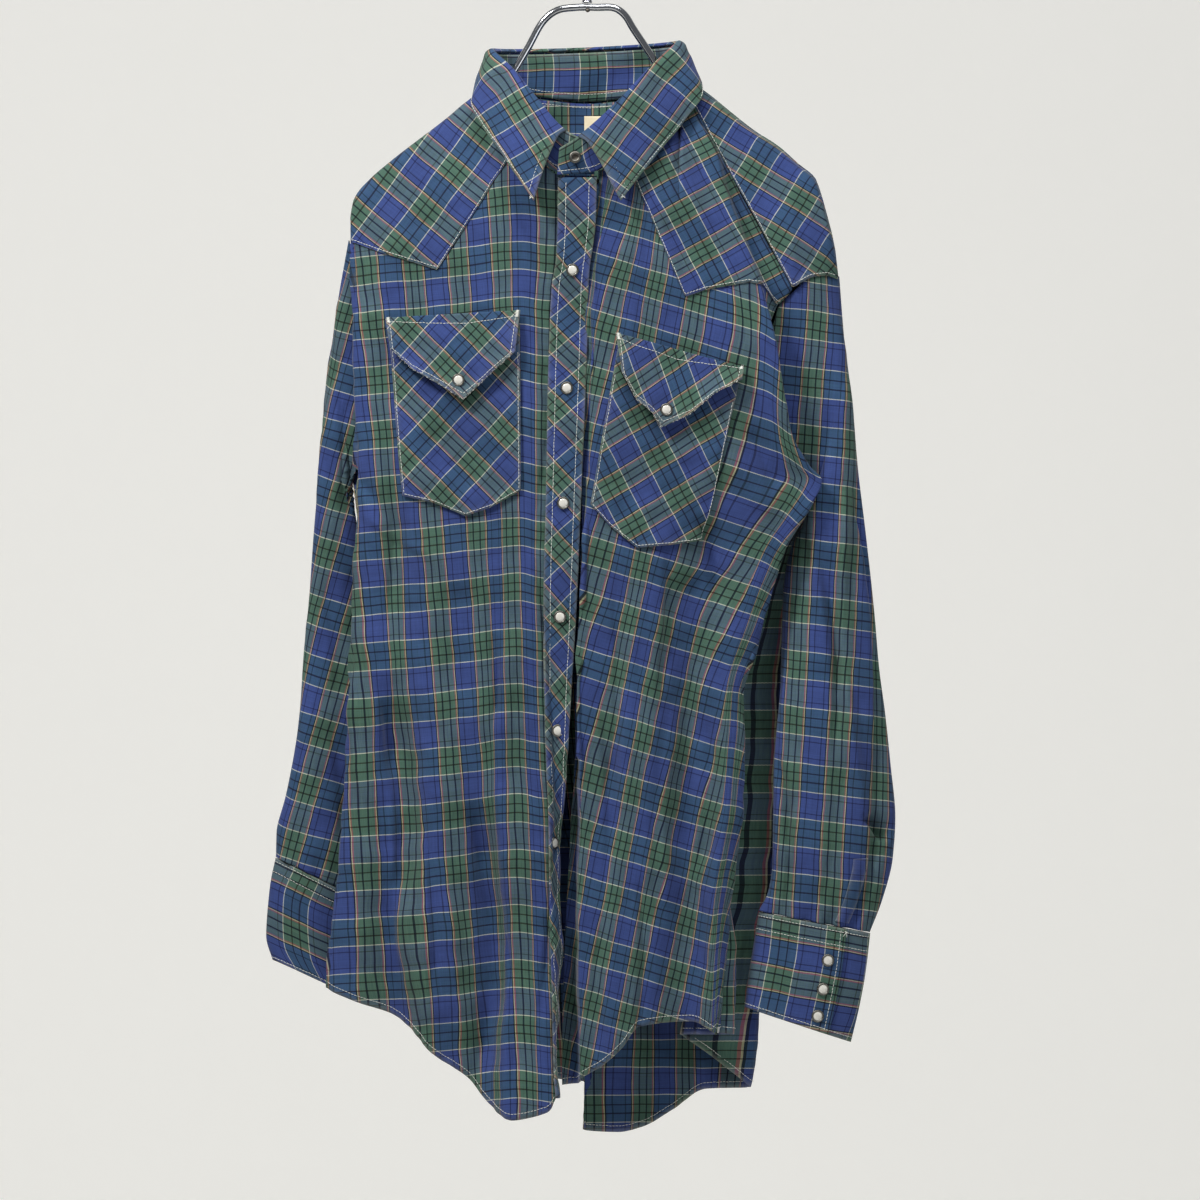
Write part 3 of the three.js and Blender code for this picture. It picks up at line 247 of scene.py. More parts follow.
# Columns: x, z, y.
SHOULDER_SEAM = [
    [76.4, -124, -6.5], [86, -142, -9.5], [112, -191, -13], [139, -240, -16], [152, -264.5, -17.5],
    [162, -283, -18.5], [164.5, -288, -19], [170, -285, -17], [182, -279.5, -13], [192, -278.5, -8],
    [201, -281, -1],
]
# Rings down each sleeve. Columns: outer edge's x, y, z, inner edge's x, y, z, half depth.
RIGHT_SLEEVE = [
    [-200, 6, -300, -192, 14, -466, 12], [-208, 8, -362, -185, 20, -482, 12],
    [-214, 10, -425, -178, 26, -502, 13], [-219, 10, -482, -168, 30, -532, 14],
    [-223, 10, -538, -160, 32, -572, 15], [-227, 10, -578, -156, 33, -607, 15],
    [-231, 10, -634, -153, 33, -652, 15], [-241, 10, -692, -153, 32, -706, 16],
    [-249, 10, -724, -157, 30, -745, 16], [-249.5, 9, -744, -163, 28, -787, 13],
]
LEFT_SLEEVE = [
    [206, 0, -328, 185, 7, -456, 15], [213, 0, -385, 175.5, 7, -476, 16], [217, 0, -432, 164, 6, -496, 17],
    [223, 0, -482, 158, 4, -530, 17], [230, 0, -546, 156.5, 0, -568, 18],
    [234, 0, -592, 155.5, -4, -606, 19],
    [239, 0, -630, 152.5, -5, -640, 20], [243, 0, -668, 150, -6, -674, 20],
    [247, 0, -711, 149.5, -6, -714, 20],
    [245, 0, -744, 149, -6, -748, 19], [236.5, 0, -778, 146, -6, -770, 17],
    [226.5, 0, -804, 138.5, -6, -787, 14],
]
# Columns: share of the way round, neck seam's x, y, z, upper edge's x, y, z.
STAND = [
    [0, 6, -42, -197.5, 6, -43.5, -173], [5, -22, -42.8, -196, -16, -47.5, -163],
    [12, -45, -37.5, -174.5, -40, -42, -137.5],
    [20, -66, -22, -148, -60, -26, -114], [29, -76.5, 0, -125.5, -74, -1, -100],
    [37, -62, 24.5, -127, -62, 27, -99], [44, -35, 38.5, -132.5, -36, 44, -98],
    [52, 0, 43.5, -135.5, 0, 50, -96.5], [60, 32, 38.5, -132.5, 33, 44, -95],
    [67, 58, 24.5, -125, 58, 27, -94], [75, 73.5, 0, -117.5, 71, -1, -93.5],
    [84, 60, -21.5, -143, 49, -28, -115],
    [92, 38, -36, -170, 23, -43, -141], [97, 5, -46.5, -195.5, -8, -50, -168],
    [100, -24, -47.2, -198, -22, -51, -177],
]
# Columns: share of the way round, outer edge's x, y, z.
LEAF_EDGE = [
    [5, -42.5, -58, -219], [12, -65, -48, -186], [20, -84, -29, -157], [25, -92.5, -16, -139],
    [29, -90.5, 1, -130.5], [37, -82, 36, -138],
    [44, -46, 56, -143], [52, 0, 62, -144], [60, 42, 56, -140], [67, 79, 36, -131],
    [75, 91, 1, -123.5], [79, 92.5, -16, -133],
    [84, 77, -27, -155], [92, 52, -47, -187], [97, 27, -58, -219],
]
# Columns: share of the fall to the outer edge, distance out, height.
LEAF_ROWS = [
    [0, 0.4, 2.4], [0.02, 2.8, 4.8], [0.08, 5.8, 3.6], [0.2, 6.2, 0], [0.5, 5, 0], [0.78, 2.5, 0], [1, 0, 0],
]


# Smooth tables
def along(keys, values, key):
    """Value at each key of a smooth curve through rows.

    values is (rows,), or (rows, points) for one curve each.
    """
    keys = np.asarray(keys, float)
    values = np.asarray(values, float)
    key = np.clip(np.asarray(key, float), keys[0], keys[-1])
    steps = np.diff(keys)
    rise = np.diff(values, axis=0) / (steps if values.ndim == 1 else steps[:, None])
    m = np.empty_like(values)
    m[0], m[-1] = rise[0], rise[-1]
    before, after = rise[:-1], rise[1:]
    same = before * after > 0
    m[1:-1] = np.where(same, 2 * before * after / np.where(same, before + after, 1), 0)
    i = np.clip(np.searchsorted(keys, key, side="left") - 1, 0, len(keys) - 2)
    h = keys[i + 1] - keys[i]
    t = (key - keys[i]) / h
    low, high = (i, i + 1) if values.ndim == 1 else ((i, np.arange(len(key))), (i + 1, np.arange(len(key))))
    return (values[low] * (1 + 2 * t) * (1 - t) ** 2 + m[low] * h * t * (1 - t) ** 2
            + values[high] * t * t * (3 - 2 * t) - m[high] * h * t * t * (1 - t))


def table(rows):
    """A table whose first column is the key, read at an array of keys as one array per other column."""
    rows = sorted(rows, key=lambda r: r[0])
    keys = [r[0] for r in rows]
    columns = [[r[j] for r in rows] for j in range(1, len(rows[0]))]
    return lambda key: [along(keys, values, np.atleast_1d(key)) for values in columns]


def line(rows):
    at = table(rows)
    return lambda key: at(key)[0]


def cornered(rows):
    """A line with straight runs and sharp corners."""
    x, z = zip(*rows)
    return lambda key: np.interp(key, x, z)


def ease(x):
    x = np.clip(x, 0, 1)
    return x * x * (3 - 2 * x)


def unit(v):
    return v / np.maximum(np.linalg.norm(v, axis=-1, keepdims=True), 1e-9)


top_right_front = table([*RIDGE_RIGHT, *FRONT_NECK_RIGHT])
top_left_front = table([*FRONT_NECK_LEFT, [74, -121, -1], [76, -60, 0], [200, 0, 0]])
top_back = table([*RIDGE_RIGHT, *BACK_NECK, *RIDGE_LEFT])
yoke_edge_right = cornered(YOKE_EDGE_RIGHT)
front_top_right = line(FRONT_TOP_RIGHT)
yoke_edge_left = cornered(YOKE_EDGE_LEFT)
front_top_left = line(FRONT_TOP_LEFT)
yoke_edge_back = line(YOKE_EDGE_BACK)
hem_right = line(HEM_RIGHT_FRONT)
hem_left = line(HEM_LEFT_FRONT)
hem_back = line(HEM_BACK)
shoulder_seam = table(SHOULDER_SEAM)
stand_at = table(STAND)
leaf_edge = table(LEAF_EDGE)
leaf_rows = table(LEAF_ROWS)


def over_arm(y, drop):
    """Depth of the cloth at a drop below the ridge: round over the arm, then out to the fold's depth."""
    turn = np.clip(drop / ROLL, 0, 1)
    near = np.minimum(ROLL_DEPTH, np.abs(y)) * np.sqrt(1 - (1 - turn) ** 2)
    far = np.maximum(np.abs(y) - ROLL_DEPTH, 0) * np.sin(math.pi / 2 * np.clip(drop / HANG, 0, 1))
    return np.sign(y) * (near + far)


# Low waves in the cloth, the same on every run
def waves(seed, count, shortest, longest):
    """A field of soft waves over two coordinates in millimetres, about one in height."""
    rng = np.random.default_rng(seed)
    length = np.exp(rng.uniform(math.log(shortest), math.log(longest), count))
    turn = rng.uniform(0, 2 * math.pi, count)
    phase = rng.uniform(0, 2 * math.pi, count)
    share = length / length.sum() * 2.2

    def field(a, b):
        total = np.zeros(np.shape(a))
        for k in range(count):
            bend = 4 * np.sin((a * 0.7 - b) / (2.3 * length[k]) + phase[k])
            along_wave = a * math.cos(turn[k]) + b * math.sin(turn[k]) + bend
            total = total + share[k] * np.sin(2 * math.pi * along_wave / length[k] + phase[k])
        return total
    return field


def creases(rows, x, z):
    """Height of the listed creases. Rows: x and z of both ends, height (a ridge if above 0), width."""
    total = np.zeros(np.shape(x))
    for x1, z1, x2, z2, height, width in rows:
        dx, dz = x2 - x1, z2 - z1
        long = math.hypot(dx, dz)
        share = ((x - x1) * dx + (z - z1) * dz) / long ** 2
        side = ((x - x1) * dz - (z - z1) * dx) / long
        bow = side - 0.04 * long * np.sin(math.pi * np.clip(share, 0, 1)) * (1 if height > 0 else -1)
        taper = ease((share + 0.08) / 0.3) * ease((1.08 - share) / 0.3)
        steep = np.where(bow > 0, width * 0.6, width * 1.5)
        total = total + height * taper * np.exp(-(bow / steep) ** 2)
    return total


class Panel:
    """One body panel's cloth by width across it and height, with its creases."""

    def __init__(self, folds, top, outside, seed, crease_rows, pucker_lines=()):
        self.keys = [f[1] for f in folds]
        self.lines = [table(f[2]) for f in folds]
        self.top = top
        self.outside = outside
        self.crease_rows = crease_rows
        self.pucker_lines = pucker_lines
        self.low_waves = waves(seed, 7, 45, 150)
        self.small_waves = waves(seed + 50, 9, 11, 34)

    def plain(self, across, z):
        across, z = np.broadcast_arrays(np.asarray(across, float), np.asarray(z, float))
        here = [at(z) for at in self.lines]
        x = along(self.keys, np.array([p[0] for p in here]), across)
        y = along(self.keys, np.array([p[1] for p in here]), across)
        top_z, top_y = self.top(x)
        neck = np.clip(np.abs(top_y) / NECK_ROLL, 0, 1)
        fall = np.clip((top_z - z) / NECK_FALL, 0, 1)
        under = top_y + (y - top_y) * fall * (2 - fall)
        y = over_arm(y, top_z - z) * (1 - neck) + under * neck
        return np.stack([x, y, z], axis=-1)

    def normal(self, across, z):
        u = self.plain(across + NORMAL_STEP, z) - self.plain(across - NORMAL_STEP, z)
        w = self.plain(across, z + NORMAL_STEP) - self.plain(across, z - NORMAL_STEP)
        n = unit(np.cross(u, w))
        return np.where(n[:, 1:2] * self.outside < 0, -n, n)

    def relief(self, across, z, x):
        """Height of creases, waves and seam puckers over the plain panel."""
        top_z = self.top(x)[0]
        free = ease((top_z - z - 4) / 50)
        height = 1.9 * creases(self.crease_rows, x, z)
        height = height + free * (1.9 * self.low_waves(across, z) + 0.55 * self.small_waves(across, z))
        for seam, pitch, depth, reach in self.pucker_lines:
            away, run = seam(across, z, x)
            near = np.exp(-np.abs(away) / reach)
            height = height + near * depth * np.sin(2 * math.pi * run / pitch + 1.7 * np.sin(run / 23)) \
                - near * depth * 0.6
        return height

    def point(self, across, z, out=0.0):
        """A place on the creased cloth, moved out from it by a distance."""
        across, z = np.broadcast_arrays(np.asarray(across, float), np.asarray(z, float))
        p = self.plain(across, z)
        n = self.normal(across, z)
        return p + n * (self.relief(across, z, p[:, 0]) + out)[:, None]

    def width_at(self, x, z):
        """Width across the panel where it passes an x at a height."""
        low = np.full(np.shape(x), float(self.keys[0]))
        high = np.full(np.shape(x), float(self.keys[-1]))
        rising = self.plain(high, z)[:, 0] > self.plain(low, z)[:, 0]
        for _ in range(22):
            middle = (low + high) / 2
            below = (self.plain(middle, z)[:, 0] < x) == rising
            low = np.where(below, middle, low)
            high = np.where(below, high, middle)
        return (low + high) / 2

    def crossing(self, edge, across):
        """Height at which a line of z over x crosses the fold at each width."""
        z = np.full(np.shape(across), -300.0)
        for _ in range(14):
            z = z + 0.7 * (edge(self.plain(across, z)[:, 0]) - z)
        return z


# Creases and puckers, listed one by one. Rows: x and z of both ends, height (a ridge if above 0), width.
RIGHT_FRONT_CREASES = [
    [-165, -385, -160, -560, -2.2, 6], [-184, -440, -150, -500, -2.6, 6], [-178, -470, -120, -505, 1.6, 5],
    [-163, -610, -152, -790, -5.5, 9], [-150, -640, -140, -850, 3.0, 9], [-120, -500, -104, -690, 1.6, 6],
    [-92, -700, -86, -915, -6.5, 9], [-78, -560, -75, -640, -2.4, 3.2], [-84, -520, -80, -660, 1.8, 5],
    [-60, -560, -66, -760, 1.6, 6], [-44, -480, -42, -900, -2.2, 3.5], [-38, -320, -40, -470, -1.5, 4],
    [-135, -700, -124, -860, -2.0, 6], [-190, -600, -178, -700, 1.6, 5], [-112, -760, -96, -905, 2.0, 7],
    [-70, -800, -58, -930, -2.0, 6], [-176, -300, -150, -340, 1.2, 6], [-60, -215, -34, -290, -1.4, 5],
]
LEFT_FRONT_CREASES = [
    [90, -470, 104, -545, -3.5, 7], [64, -500, 56, -610, -2.0, 5], [40, -540, 32, -720, 2.0, 7],
    [20, -520, 14, -700, -1.6, 5], [104, -560, 90, -640, 1.8, 6], [70, -620, 66, -800, 2.2, 7],
    [24, -720, 20, -900, 2.0, 7], [42, -760, 36, -905, -2.6, 6], [96, -640, 88, -760, -2.2, 6],
    [112, -700, 104, -860, 1.6, 6], [60, -235, 96, -330, -1.2, 6], [30, -250, 40, -320, 1.2, 6],
    [128, -400, 150, -450, -2.2, 5], [112, -420, 146, -470, 1.8, 6], [10, -600, 4, -860, -1.6, 5],
]
BACK_CREASES = [
    [-150, -420, -120, -560, -2.4, 8], [-110, -380, -100, -620, 2.2, 9], [-60, -420, -66, -800, -2.2, 9],
    [-20, -460, -10, -780, 1.8, 8], [40, -400, 30, -720, -2.4, 9], [84, -420, 96, -640, 2.2, 8],
    [120, -460, 104, -700, -2.6, 8], [-160, -600, -150, -820, 2.4, 9], [-124, -700, -112, -880, -2.4, 8],
    [60, -700, 52, -920, 2.2, 8], [10, -700, 16, -940, -2.6, 8], [-40, -760, -30, -910, 2.2, 8],
    [-90, -320, -60, -420, 1.6, 7], [70, -330, 50, -440, -1.8, 7], [0, -320, 4, -420, 1.4, 7],
    [92, -860, 88, -925, -2.4, 6], [110, -820, 112, -920, 1.8, 6],
]


def edge_pucker(edge):
    """Distance below an edge line over x, and the run along it."""
    return lambda across, z, x: (z - edge(x), x)


def hem_pucker(hem):
    return lambda across, z, x: (z - hem(across), across)


def strip_pucker(width):
    return lambda across, z, x: (across - width, z)


right_front = Panel(RIGHT_FRONT_FOLDS, top_right_front, -1, 3, RIGHT_FRONT_CREASES, [
    (hem_pucker(hem_right), 9.5, 0.55, 7), (strip_pucker(178), 11, 0.5, 5),
    (edge_pucker(yoke_edge_right), 10, 0.45, 6)])
left_front = Panel(LEFT_FRONT_FOLDS, top_left_front, -1, 5, LEFT_FRONT_CREASES, [
    (hem_pucker(hem_left), 9.5, 0.55, 7), (edge_pucker(yoke_edge_left), 10, 0.45, 6)])
back = Panel(BACK_FOLDS, top_back, 1, 8, BACK_CREASES, [
    (hem_pucker(hem_back), 9.5, 0.6, 7), (edge_pucker(yoke_edge_back), 10, 0.45, 6)])


# Cloth coordinates in millimetres: u across the warp, v down it
RIGHT_WARP_HIGH = line([[0, -52], [17, -36], [38, -18.5], [59.4, 0], [77, 17.5], [97.4, 36], [115, 53.5],
                        [133.7, 72], [149.4, 89.5], [167, 108], [205, 147]])
RIGHT_WARP_LOW = line([[0, -79], [43, -36], [60, -18.5], [82.7, 0], [100.5, 17.5], [117.7, 36],
                       [132.5, 53.5], [143, 72], [159.5, 89.5], [171.5, 108], [205, 142]])
RIGHT_BOW = line([[0, 14], [48, 10], [70, 9], [95, 6.5], [117, 4], [135, 1.6], [155, 0], [172, 3], [205, 6]])


def right_front_cloth(across, z, x):
    low = np.clip((-281.6 - z) / 291.4, -0.4, 2.2)
    high_u, low_u = RIGHT_WARP_HIGH(across), RIGHT_WARP_LOW(across)
    return high_u + (low_u - high_u) * low, -251.3 - z - RIGHT_BOW(across)


def left_front_cloth(across, z, x):
    behind = ease((across - 146) / 12)
    u = 72 + 1.08 * (across - 104) + (0.2 + 0.09 * behind) * (-312.8 - z)
    v = -((z + 327.7) + 0.31 * (x - 76) + 0.19 * behind * (x - 135)) * 0.971
    return u, v


def back_cloth(across, z, x):
    return across * 1.03 + 6, -z - 8


def laid(crossing, at, weft, warp, scale=1.0):
    """Cloth coordinates on a slanting grain: the plaid's crossing lies at x, z and has u, v there.

    weft is the direction in x, z in which u grows, warp the one in which v grows.
    """
    (ax, az), (bx, bz) = weft, warp
    det = ax * bz - az * bx

    def cloth(x, z):
        dx, dz = x - crossing[0], z - crossing[1]
        return (at[0] + scale * (dx * bz - dz * bx) / det, at[1] + scale * (ax * dz - az * dx) / det)
    return cloth


right_yoke_cloth = laid((-124.2, -239.8), (0, 22.1), (0.589, 0.808), (0.76, -0.65), 0.95)
left_yoke_cloth = laid((70, -240), (0, 0), (-0.469, 0.883), (0.87, 0.49))
back_yoke_cloth = laid((120, -200), (0, 0), (0.515, 0.857), (0.857, -0.515))
right_pocket_cloth = laid((-107.3, -399.5), (17.5, 22.1), (0.68, 0.73), (0.707, -0.707))
right_flap_cloth = laid((-113.7, -337.1), (17.5, 0), (0.68, 0.73), (0.707, -0.707))
left_pocket_cloth = laid((36.2, -403.8), (0, 0), (-0.454, 0.891), (0.85, 0.52))
left_flap_cloth = laid((62.2, -358.8), (0, 0), (-0.342, 0.94), (0.819, 0.574))
placket_cloth = laid((14, -300), (0, 0), (0.73, 0.68), (0.68, -0.73))


# Meshes
def millimetres(points):
    return (np.asarray(points) / 1000).astype(np.float32)


def grid_piece(name, columns, rows, points, cloth, worn=None, merge=False):
    """A grid of cloth, for shares s across and t down.

    points(s, t) gives millimetres and cloth(s, t, points) gives u, v.
    """
    bm = bmesh.new()
    bmesh.ops.create_grid(bm, x_segments=columns, y_segments=rows, size=0.5)
    mesh = bpy.data.meshes.new(name)
    bm.to_mesh(mesh)
    bm.free()
    count = len(mesh.vertices)
    co = np.empty(count * 3, np.float32)
    mesh.vertices.foreach_get("co", co)
    co = co.reshape(-1, 3).astype(float)
    s, t = co[:, 0] + 0.5, 0.5 - co[:, 1]
    p = points(s, t)
    mesh.vertices.foreach_set("co", millimetres(p).ravel())
    u, v = cloth(s, t, p)
    loops = np.empty(len(mesh.loops), np.int32)
    mesh.loops.foreach_get("vertex_index", loops)
    layer = mesh.uv_layers.new(name="cloth")
    layer.uv.foreach_set("vector", np.stack([u[loops], v[loops]], axis=-1).astype(np.float32).ravel())
    mark = mesh.attributes.new("worn", "FLOAT", "POINT")
    shares = np.zeros(count) if worn is None else worn(s, t)
    mark.data.foreach_set("value", np.asarray(shares, np.float32))
    if merge:
        bm = bmesh.new()
        bm.from_mesh(mesh)
        bmesh.ops.remove_doubles(bm, verts=bm.verts, dist=0.00002)
        bm.to_mesh(mesh)
        bm.free()
    mesh.update()
    return mesh


def placed(name, mesh, material, nodes=(), thickness=None, smooth=True):
    """An object for a mesh, riding with the shirt and standing for its CAD nodes."""
    piece = bpy.data.objects.new(name, mesh)
    bpy.context.scene.collection.objects.link(piece)
    mesh.materials.clear()
    mesh.materials.append(material)
    mesh.polygons.foreach_set("use_smooth", np.full(len(mesh.polygons), smooth))
    if thickness:
        shell = piece.modifiers.new("Thickness", "SOLIDIFY")
        shell.thickness = thickness / 1000
        shell.offset = 0
        shell.use_even_offset = False
    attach(piece, "root")
    if nodes:
        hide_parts(*nodes)
    return piece


def hung(piece, width, length, share, rests_on):
    """Takes a sheet, its flat size in millimetres and the share of that rectangle it fills; none of these is
    used, and rests_on is only read as a list.
    """
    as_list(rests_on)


def near_edges(width, length, reach=2.5, sides="lrtb"):
    """How worn a grid is beside its edges, from 0 to 1."""
    def worn(s, t):
        away = np.full(np.shape(s), 1e3)
        if "l" in sides:
            away = np.minimum(away, s * width)
        if "r" in sides:
            away = np.minimum(away, (1 - s) * width)
        if "t" in sides:
            away = np.minimum(away, t * length)
        if "b" in sides:
            away = np.minimum(away, (1 - t) * length)
        return np.exp(-away / reach)
    return worn


def arcs(points, columns=80, rows=60):
    """Distances over a surface: across it from s = 0, down it from t = 0, each read at any shares."""
    s, t = np.meshgrid(np.linspace(0, 1, columns), np.linspace(0, 1, rows), indexing="ij")
    p = points(s.ravel(), t.ravel()).reshape(columns, rows, 3)
    across = np.zeros((columns, rows))
    across[1:] = np.cumsum(np.linalg.norm(np.diff(p, axis=0), axis=2), axis=0)
    down = np.zeros((columns, rows))
    down[:, 1:] = np.cumsum(np.linalg.norm(np.diff(p, axis=1), axis=2), axis=1)

    def read(field, s, t):
        a, b = np.clip(s, 0, 1) * (columns - 1), np.clip(t, 0, 1) * (rows - 1)
        i, j = np.minimum(a.astype(int), columns - 2), np.minimum(b.astype(int), rows - 2)
        a, b = a - i, b - j
        return ((1 - a) * (1 - b) * field[i, j] + a * (1 - b) * field[i + 1, j]
                + (1 - a) * b * field[i, j + 1] + a * b * field[i + 1, j + 1])
    return lambda s, t: read(across, s, t), lambda s, t: read(down, s, t)


# Materials
def srgb(r, g, b):
    def linear(c):
        c = max(c, 0) / 255
        return c / 12.92 if c <= 0.04045 else ((c + 0.055) / 1.055) ** 2.4
    return (linear(r), linear(g), linear(b))


class Shader:
    """Writes one material's nodes. An input i0, i1 and so on is a socket by its number."""

    def __init__(self, name):
        self.material = bpy.data.materials.new(name)
        self.material.use_nodes = True
        self.tree = self.material.node_tree
        self.surface = self.tree.nodes["Principled BSDF"]

    def add(self, kind, settings=None, **inputs):
        node = self.tree.nodes.new(kind)
        for key, value in (settings or {}).items():
            setattr(node, key, value)
        for key, value in inputs.items():
            self.join(node.inputs[int(key[1:]) if key[0] == "i" and key[1:].isdigit() else key], value)
        return node

    def join(self, socket, value):
        if isinstance(value, bpy.types.NodeSocket):
            self.tree.links.new(value, socket)
        else:
            socket.default_value = value

    def math(self, operation, a, b=0.0, clamp=False):
        node = self.add("ShaderNodeMath", {"operation": operation, "use_clamp": clamp}, i0=a, i1=b)
        return node.outputs[0]

    def scale_add(self, a, b, c, clamp=False):
        settings = {"operation": "MULTIPLY_ADD", "use_clamp": clamp}
        node = self.add("ShaderNodeMath", settings, i0=a, i1=b, i2=c)
        return node.outputs[0]

    def grey(self, value):
        return self.add("ShaderNodeCombineColor", i0=value, i1=value, i2=value).outputs[0]

    def mix(self, factor, a, b, blend="MIX"):
        node = self.add("ShaderNodeMix", {"data_type": "RGBA", "blend_type": blend})
        self.join(node.inputs[0], factor)
        self.join(node.inputs[6], a if isinstance(a, bpy.types.NodeSocket) else (*a, 1))
        self.join(node.inputs[7], b if isinstance(b, bpy.types.NodeSocket) else (*b, 1))
        return node.outputs[2]

    def ramp(self, factor, stops, smooth="CONSTANT"):
        node = self.add("ShaderNodeValToRGB", i0=factor)
        node.color_ramp.interpolation = smooth
        elements = node.color_ramp.elements
        elements[0].position, elements[0].color = stops[0][0], stops[0][1]
        elements[1].position, elements[1].color = stops[1][0], stops[1][1]
        for position, colour in stops[2:]:
            elements.new(position).color = colour
        return node

    def noise(self, vector, scale, detail=2.0, roughness=0.5):
        node = self.add("ShaderNodeTexNoise", Scale=scale, Detail=detail, Roughness=roughness)
        self.join(node.inputs["Vector"], vector)
        return node.outputs["Fac"]

    def scaled(self, vector, x, y, z=1.0):
        node = self.add("ShaderNodeVectorMath", {"operation": "MULTIPLY"}, i0=vector, i1=(x, y, z))
        return node.outputs[0]


# Yarns: colour as it looks in sRGB, and how far it covers the yarn that crosses it
CREAM_WEFT = ((196, 198, 184), 0.62)
CREAM_WARP = ((186, 178, 134), 0.58)
RUST = ((150, 84, 68), 0.56)
GREEN_WARP = ((83, 108, 78), 0.5)
BLUE_WARP = ((50, 66, 122), 0.5)
DARK_WARP = ((2, 10, 12), 0.86)
NAVY_WARP = ((5, 7, 26), 0.84)
FAINT_WARP = ((16, 22, 62), 0.68)
GREEN_WEFT = ((42, 80, 87), 0.5)
BLUE_WEFT = ((50, 67, 120), 0.5)
DARK_WEFT = ((3, 13, 20), 0.84)
FAINT_WEFT = ((16, 23, 62), 0.68)
WARP_PERIOD = 36
WEFT_PERIOD = 44.2
# Where each yarn starts, in millimetres across the warp and down the weft
WARP = [
    (0, CREAM_WARP), (0.5, RUST), (1.4, GREEN_WARP), (5.2, DARK_WARP), (6.25, GREEN_WARP), (11.1, DARK_WARP),
    (12.15, GREEN_WARP), (16.1, RUST), (17.0, CREAM_WARP), (17.5, NAVY_WARP), (18.4, BLUE_WARP),
    (22.0, FAINT_WARP), (22.85, BLUE_WARP), (31.1, FAINT_WARP), (31.95, BLUE_WARP), (35.1, NAVY_WARP),
]
WEFT = [
    (0, CREAM_WEFT), (0.55, GREEN_WEFT), (7.5, DARK_WEFT), (8.6, GREEN_WEFT), (14.5, DARK_WEFT),
    (15.6, GREEN_WEFT), (22.1, CREAM_WEFT), (22.65, BLUE_WEFT), (26.6, FAINT_WEFT), (27.5, BLUE_WEFT),
    (39.5, FAINT_WEFT), (40.4, BLUE_WEFT),
]


def yarn_ramp(shader, place, period, yarns):
    """Colour of the yarn at a place across the sett, with its cover as alpha."""
    share = shader.math("FRACT", shader.math("DIVIDE", place, period))
    stops = [(start / period, (*srgb(*colour), cover)) for start, (colour, cover) in yarns]
    return shader.ramp(share, stops)


def plaid(name):
    """Yarn-dyed cotton plaid. It reads the cloth's own coordinates, so one material serves every grain."""
    m = Shader(name)
    uv = m.add("ShaderNodeUVMap", {"uv_map": "cloth"}).outputs[0]
    wander = m.add("ShaderNodeTexNoise", {"noise_dimensions": "2D"}, Scale=0.03, Detail=1.0)
    m.join(wander.inputs["Vector"], uv)
    drift = m.scaled(wander.outputs["Color"], 1.8, 1.8)
    uv = m.add("ShaderNodeVectorMath", {"operation": "ADD"}, i0=uv, i1=drift).outputs[0]
    parts = m.add("ShaderNodeSeparateXYZ", i0=uv)
    u, v = parts.outputs[0], parts.outputs[1]
    warp = yarn_ramp(m, u, WARP_PERIOD, WARP)
    weft = yarn_ramp(m, v, WEFT_PERIOD, WEFT)
    # Uneven yarns, long along themselves and fine across
    warp_slub = m.noise(m.scaled(uv, 2.2, 0.05), 1.0, 3.0, 0.7)
    weft_slub = m.noise(m.scaled(uv, 0.05, 2.2), 1.0, 3.0, 0.7)
    warp_tone = m.add("ShaderNodeMapRange", Value=warp_slub, i1=0.25, i2=0.75, i3=0.6, i4=1.36).outputs[0]
    weft_tone = m.add("ShaderNodeMapRange", Value=weft_slub, i1=0.25, i2=0.75, i3=0.6, i4=1.36).outputs[0]
    warp_colour = m.mix(1.0, warp.outputs[0], m.grey(warp_tone), "MULTIPLY")
    weft_colour = m.mix(1.0, weft.outputs[0], m.grey(weft_tone), "MULTIPLY")
    # The weave: warp and weft in turn on top
    over_u = m.math("SINE", m.math("MULTIPLY", u, 2 * math.pi / 0.9))
    over_v = m.math("SINE", m.math("MULTIPLY", v, 2 * math.pi / 0.9))
    weave = m.math("MULTIPLY", over_u, over_v)
    cover = m.math("SUBTRACT", weft.outputs[1], warp.outputs[1])
    share = m.math("ADD", m.scale_add(weave, 0.3, 0.5), cover, True)
    colour = m.mix(share, warp_colour, weft_colour)
    # Washing and wear
    place = m.add("ShaderNodeTexCoord").outputs["Object"]
    wash = m.noise(place, 9.0, 3.0, 0.6)
    tone = m.add("ShaderNodeMapRange", Value=wash, i1=0.3, i2=0.7, i3=0.9, i4=1.1).outputs[0]
    colour = m.mix(1.0, colour, m.grey(tone), "MULTIPLY")
    worn = m.add("ShaderNodeAttribute", {"attribute_name": "worn"}).outputs["Fac"]
    fuzz = m.noise(place, 700.0, 2.0, 0.6)
    patch = m.noise(place, 60.0, 2.0, 0.6)
    worn = m.math("MULTIPLY", worn, m.scale_add(patch, 1.6, -0.25), True)
    worn = m.math("MULTIPLY", worn, m.math("ADD", fuzz, 0.15), True)
    colour = m.mix(m.math("MULTIPLY", worn, 0.75), colour, srgb(150, 150, 138))
    m.join(m.surface.inputs["Base Color"], colour)
    height = m.scale_add(weave, 0.35, m.math("MULTIPLY", warp_slub, 0.8))
    bump = m.add("ShaderNodeBump", Strength=0.35, Distance=0.00022, Height=height)
    m.join(m.surface.inputs["Normal"], bump.outputs[0])
    m.surface.inputs["Roughness"].default_value = 0.86
    m.surface.inputs["Specular IOR Level"].default_value = 0.22
    m.surface.inputs["Sheen Weight"].default_value = 0.12
    m.surface.inputs["Sheen Roughness"].default_value = 0.5
    return m.material


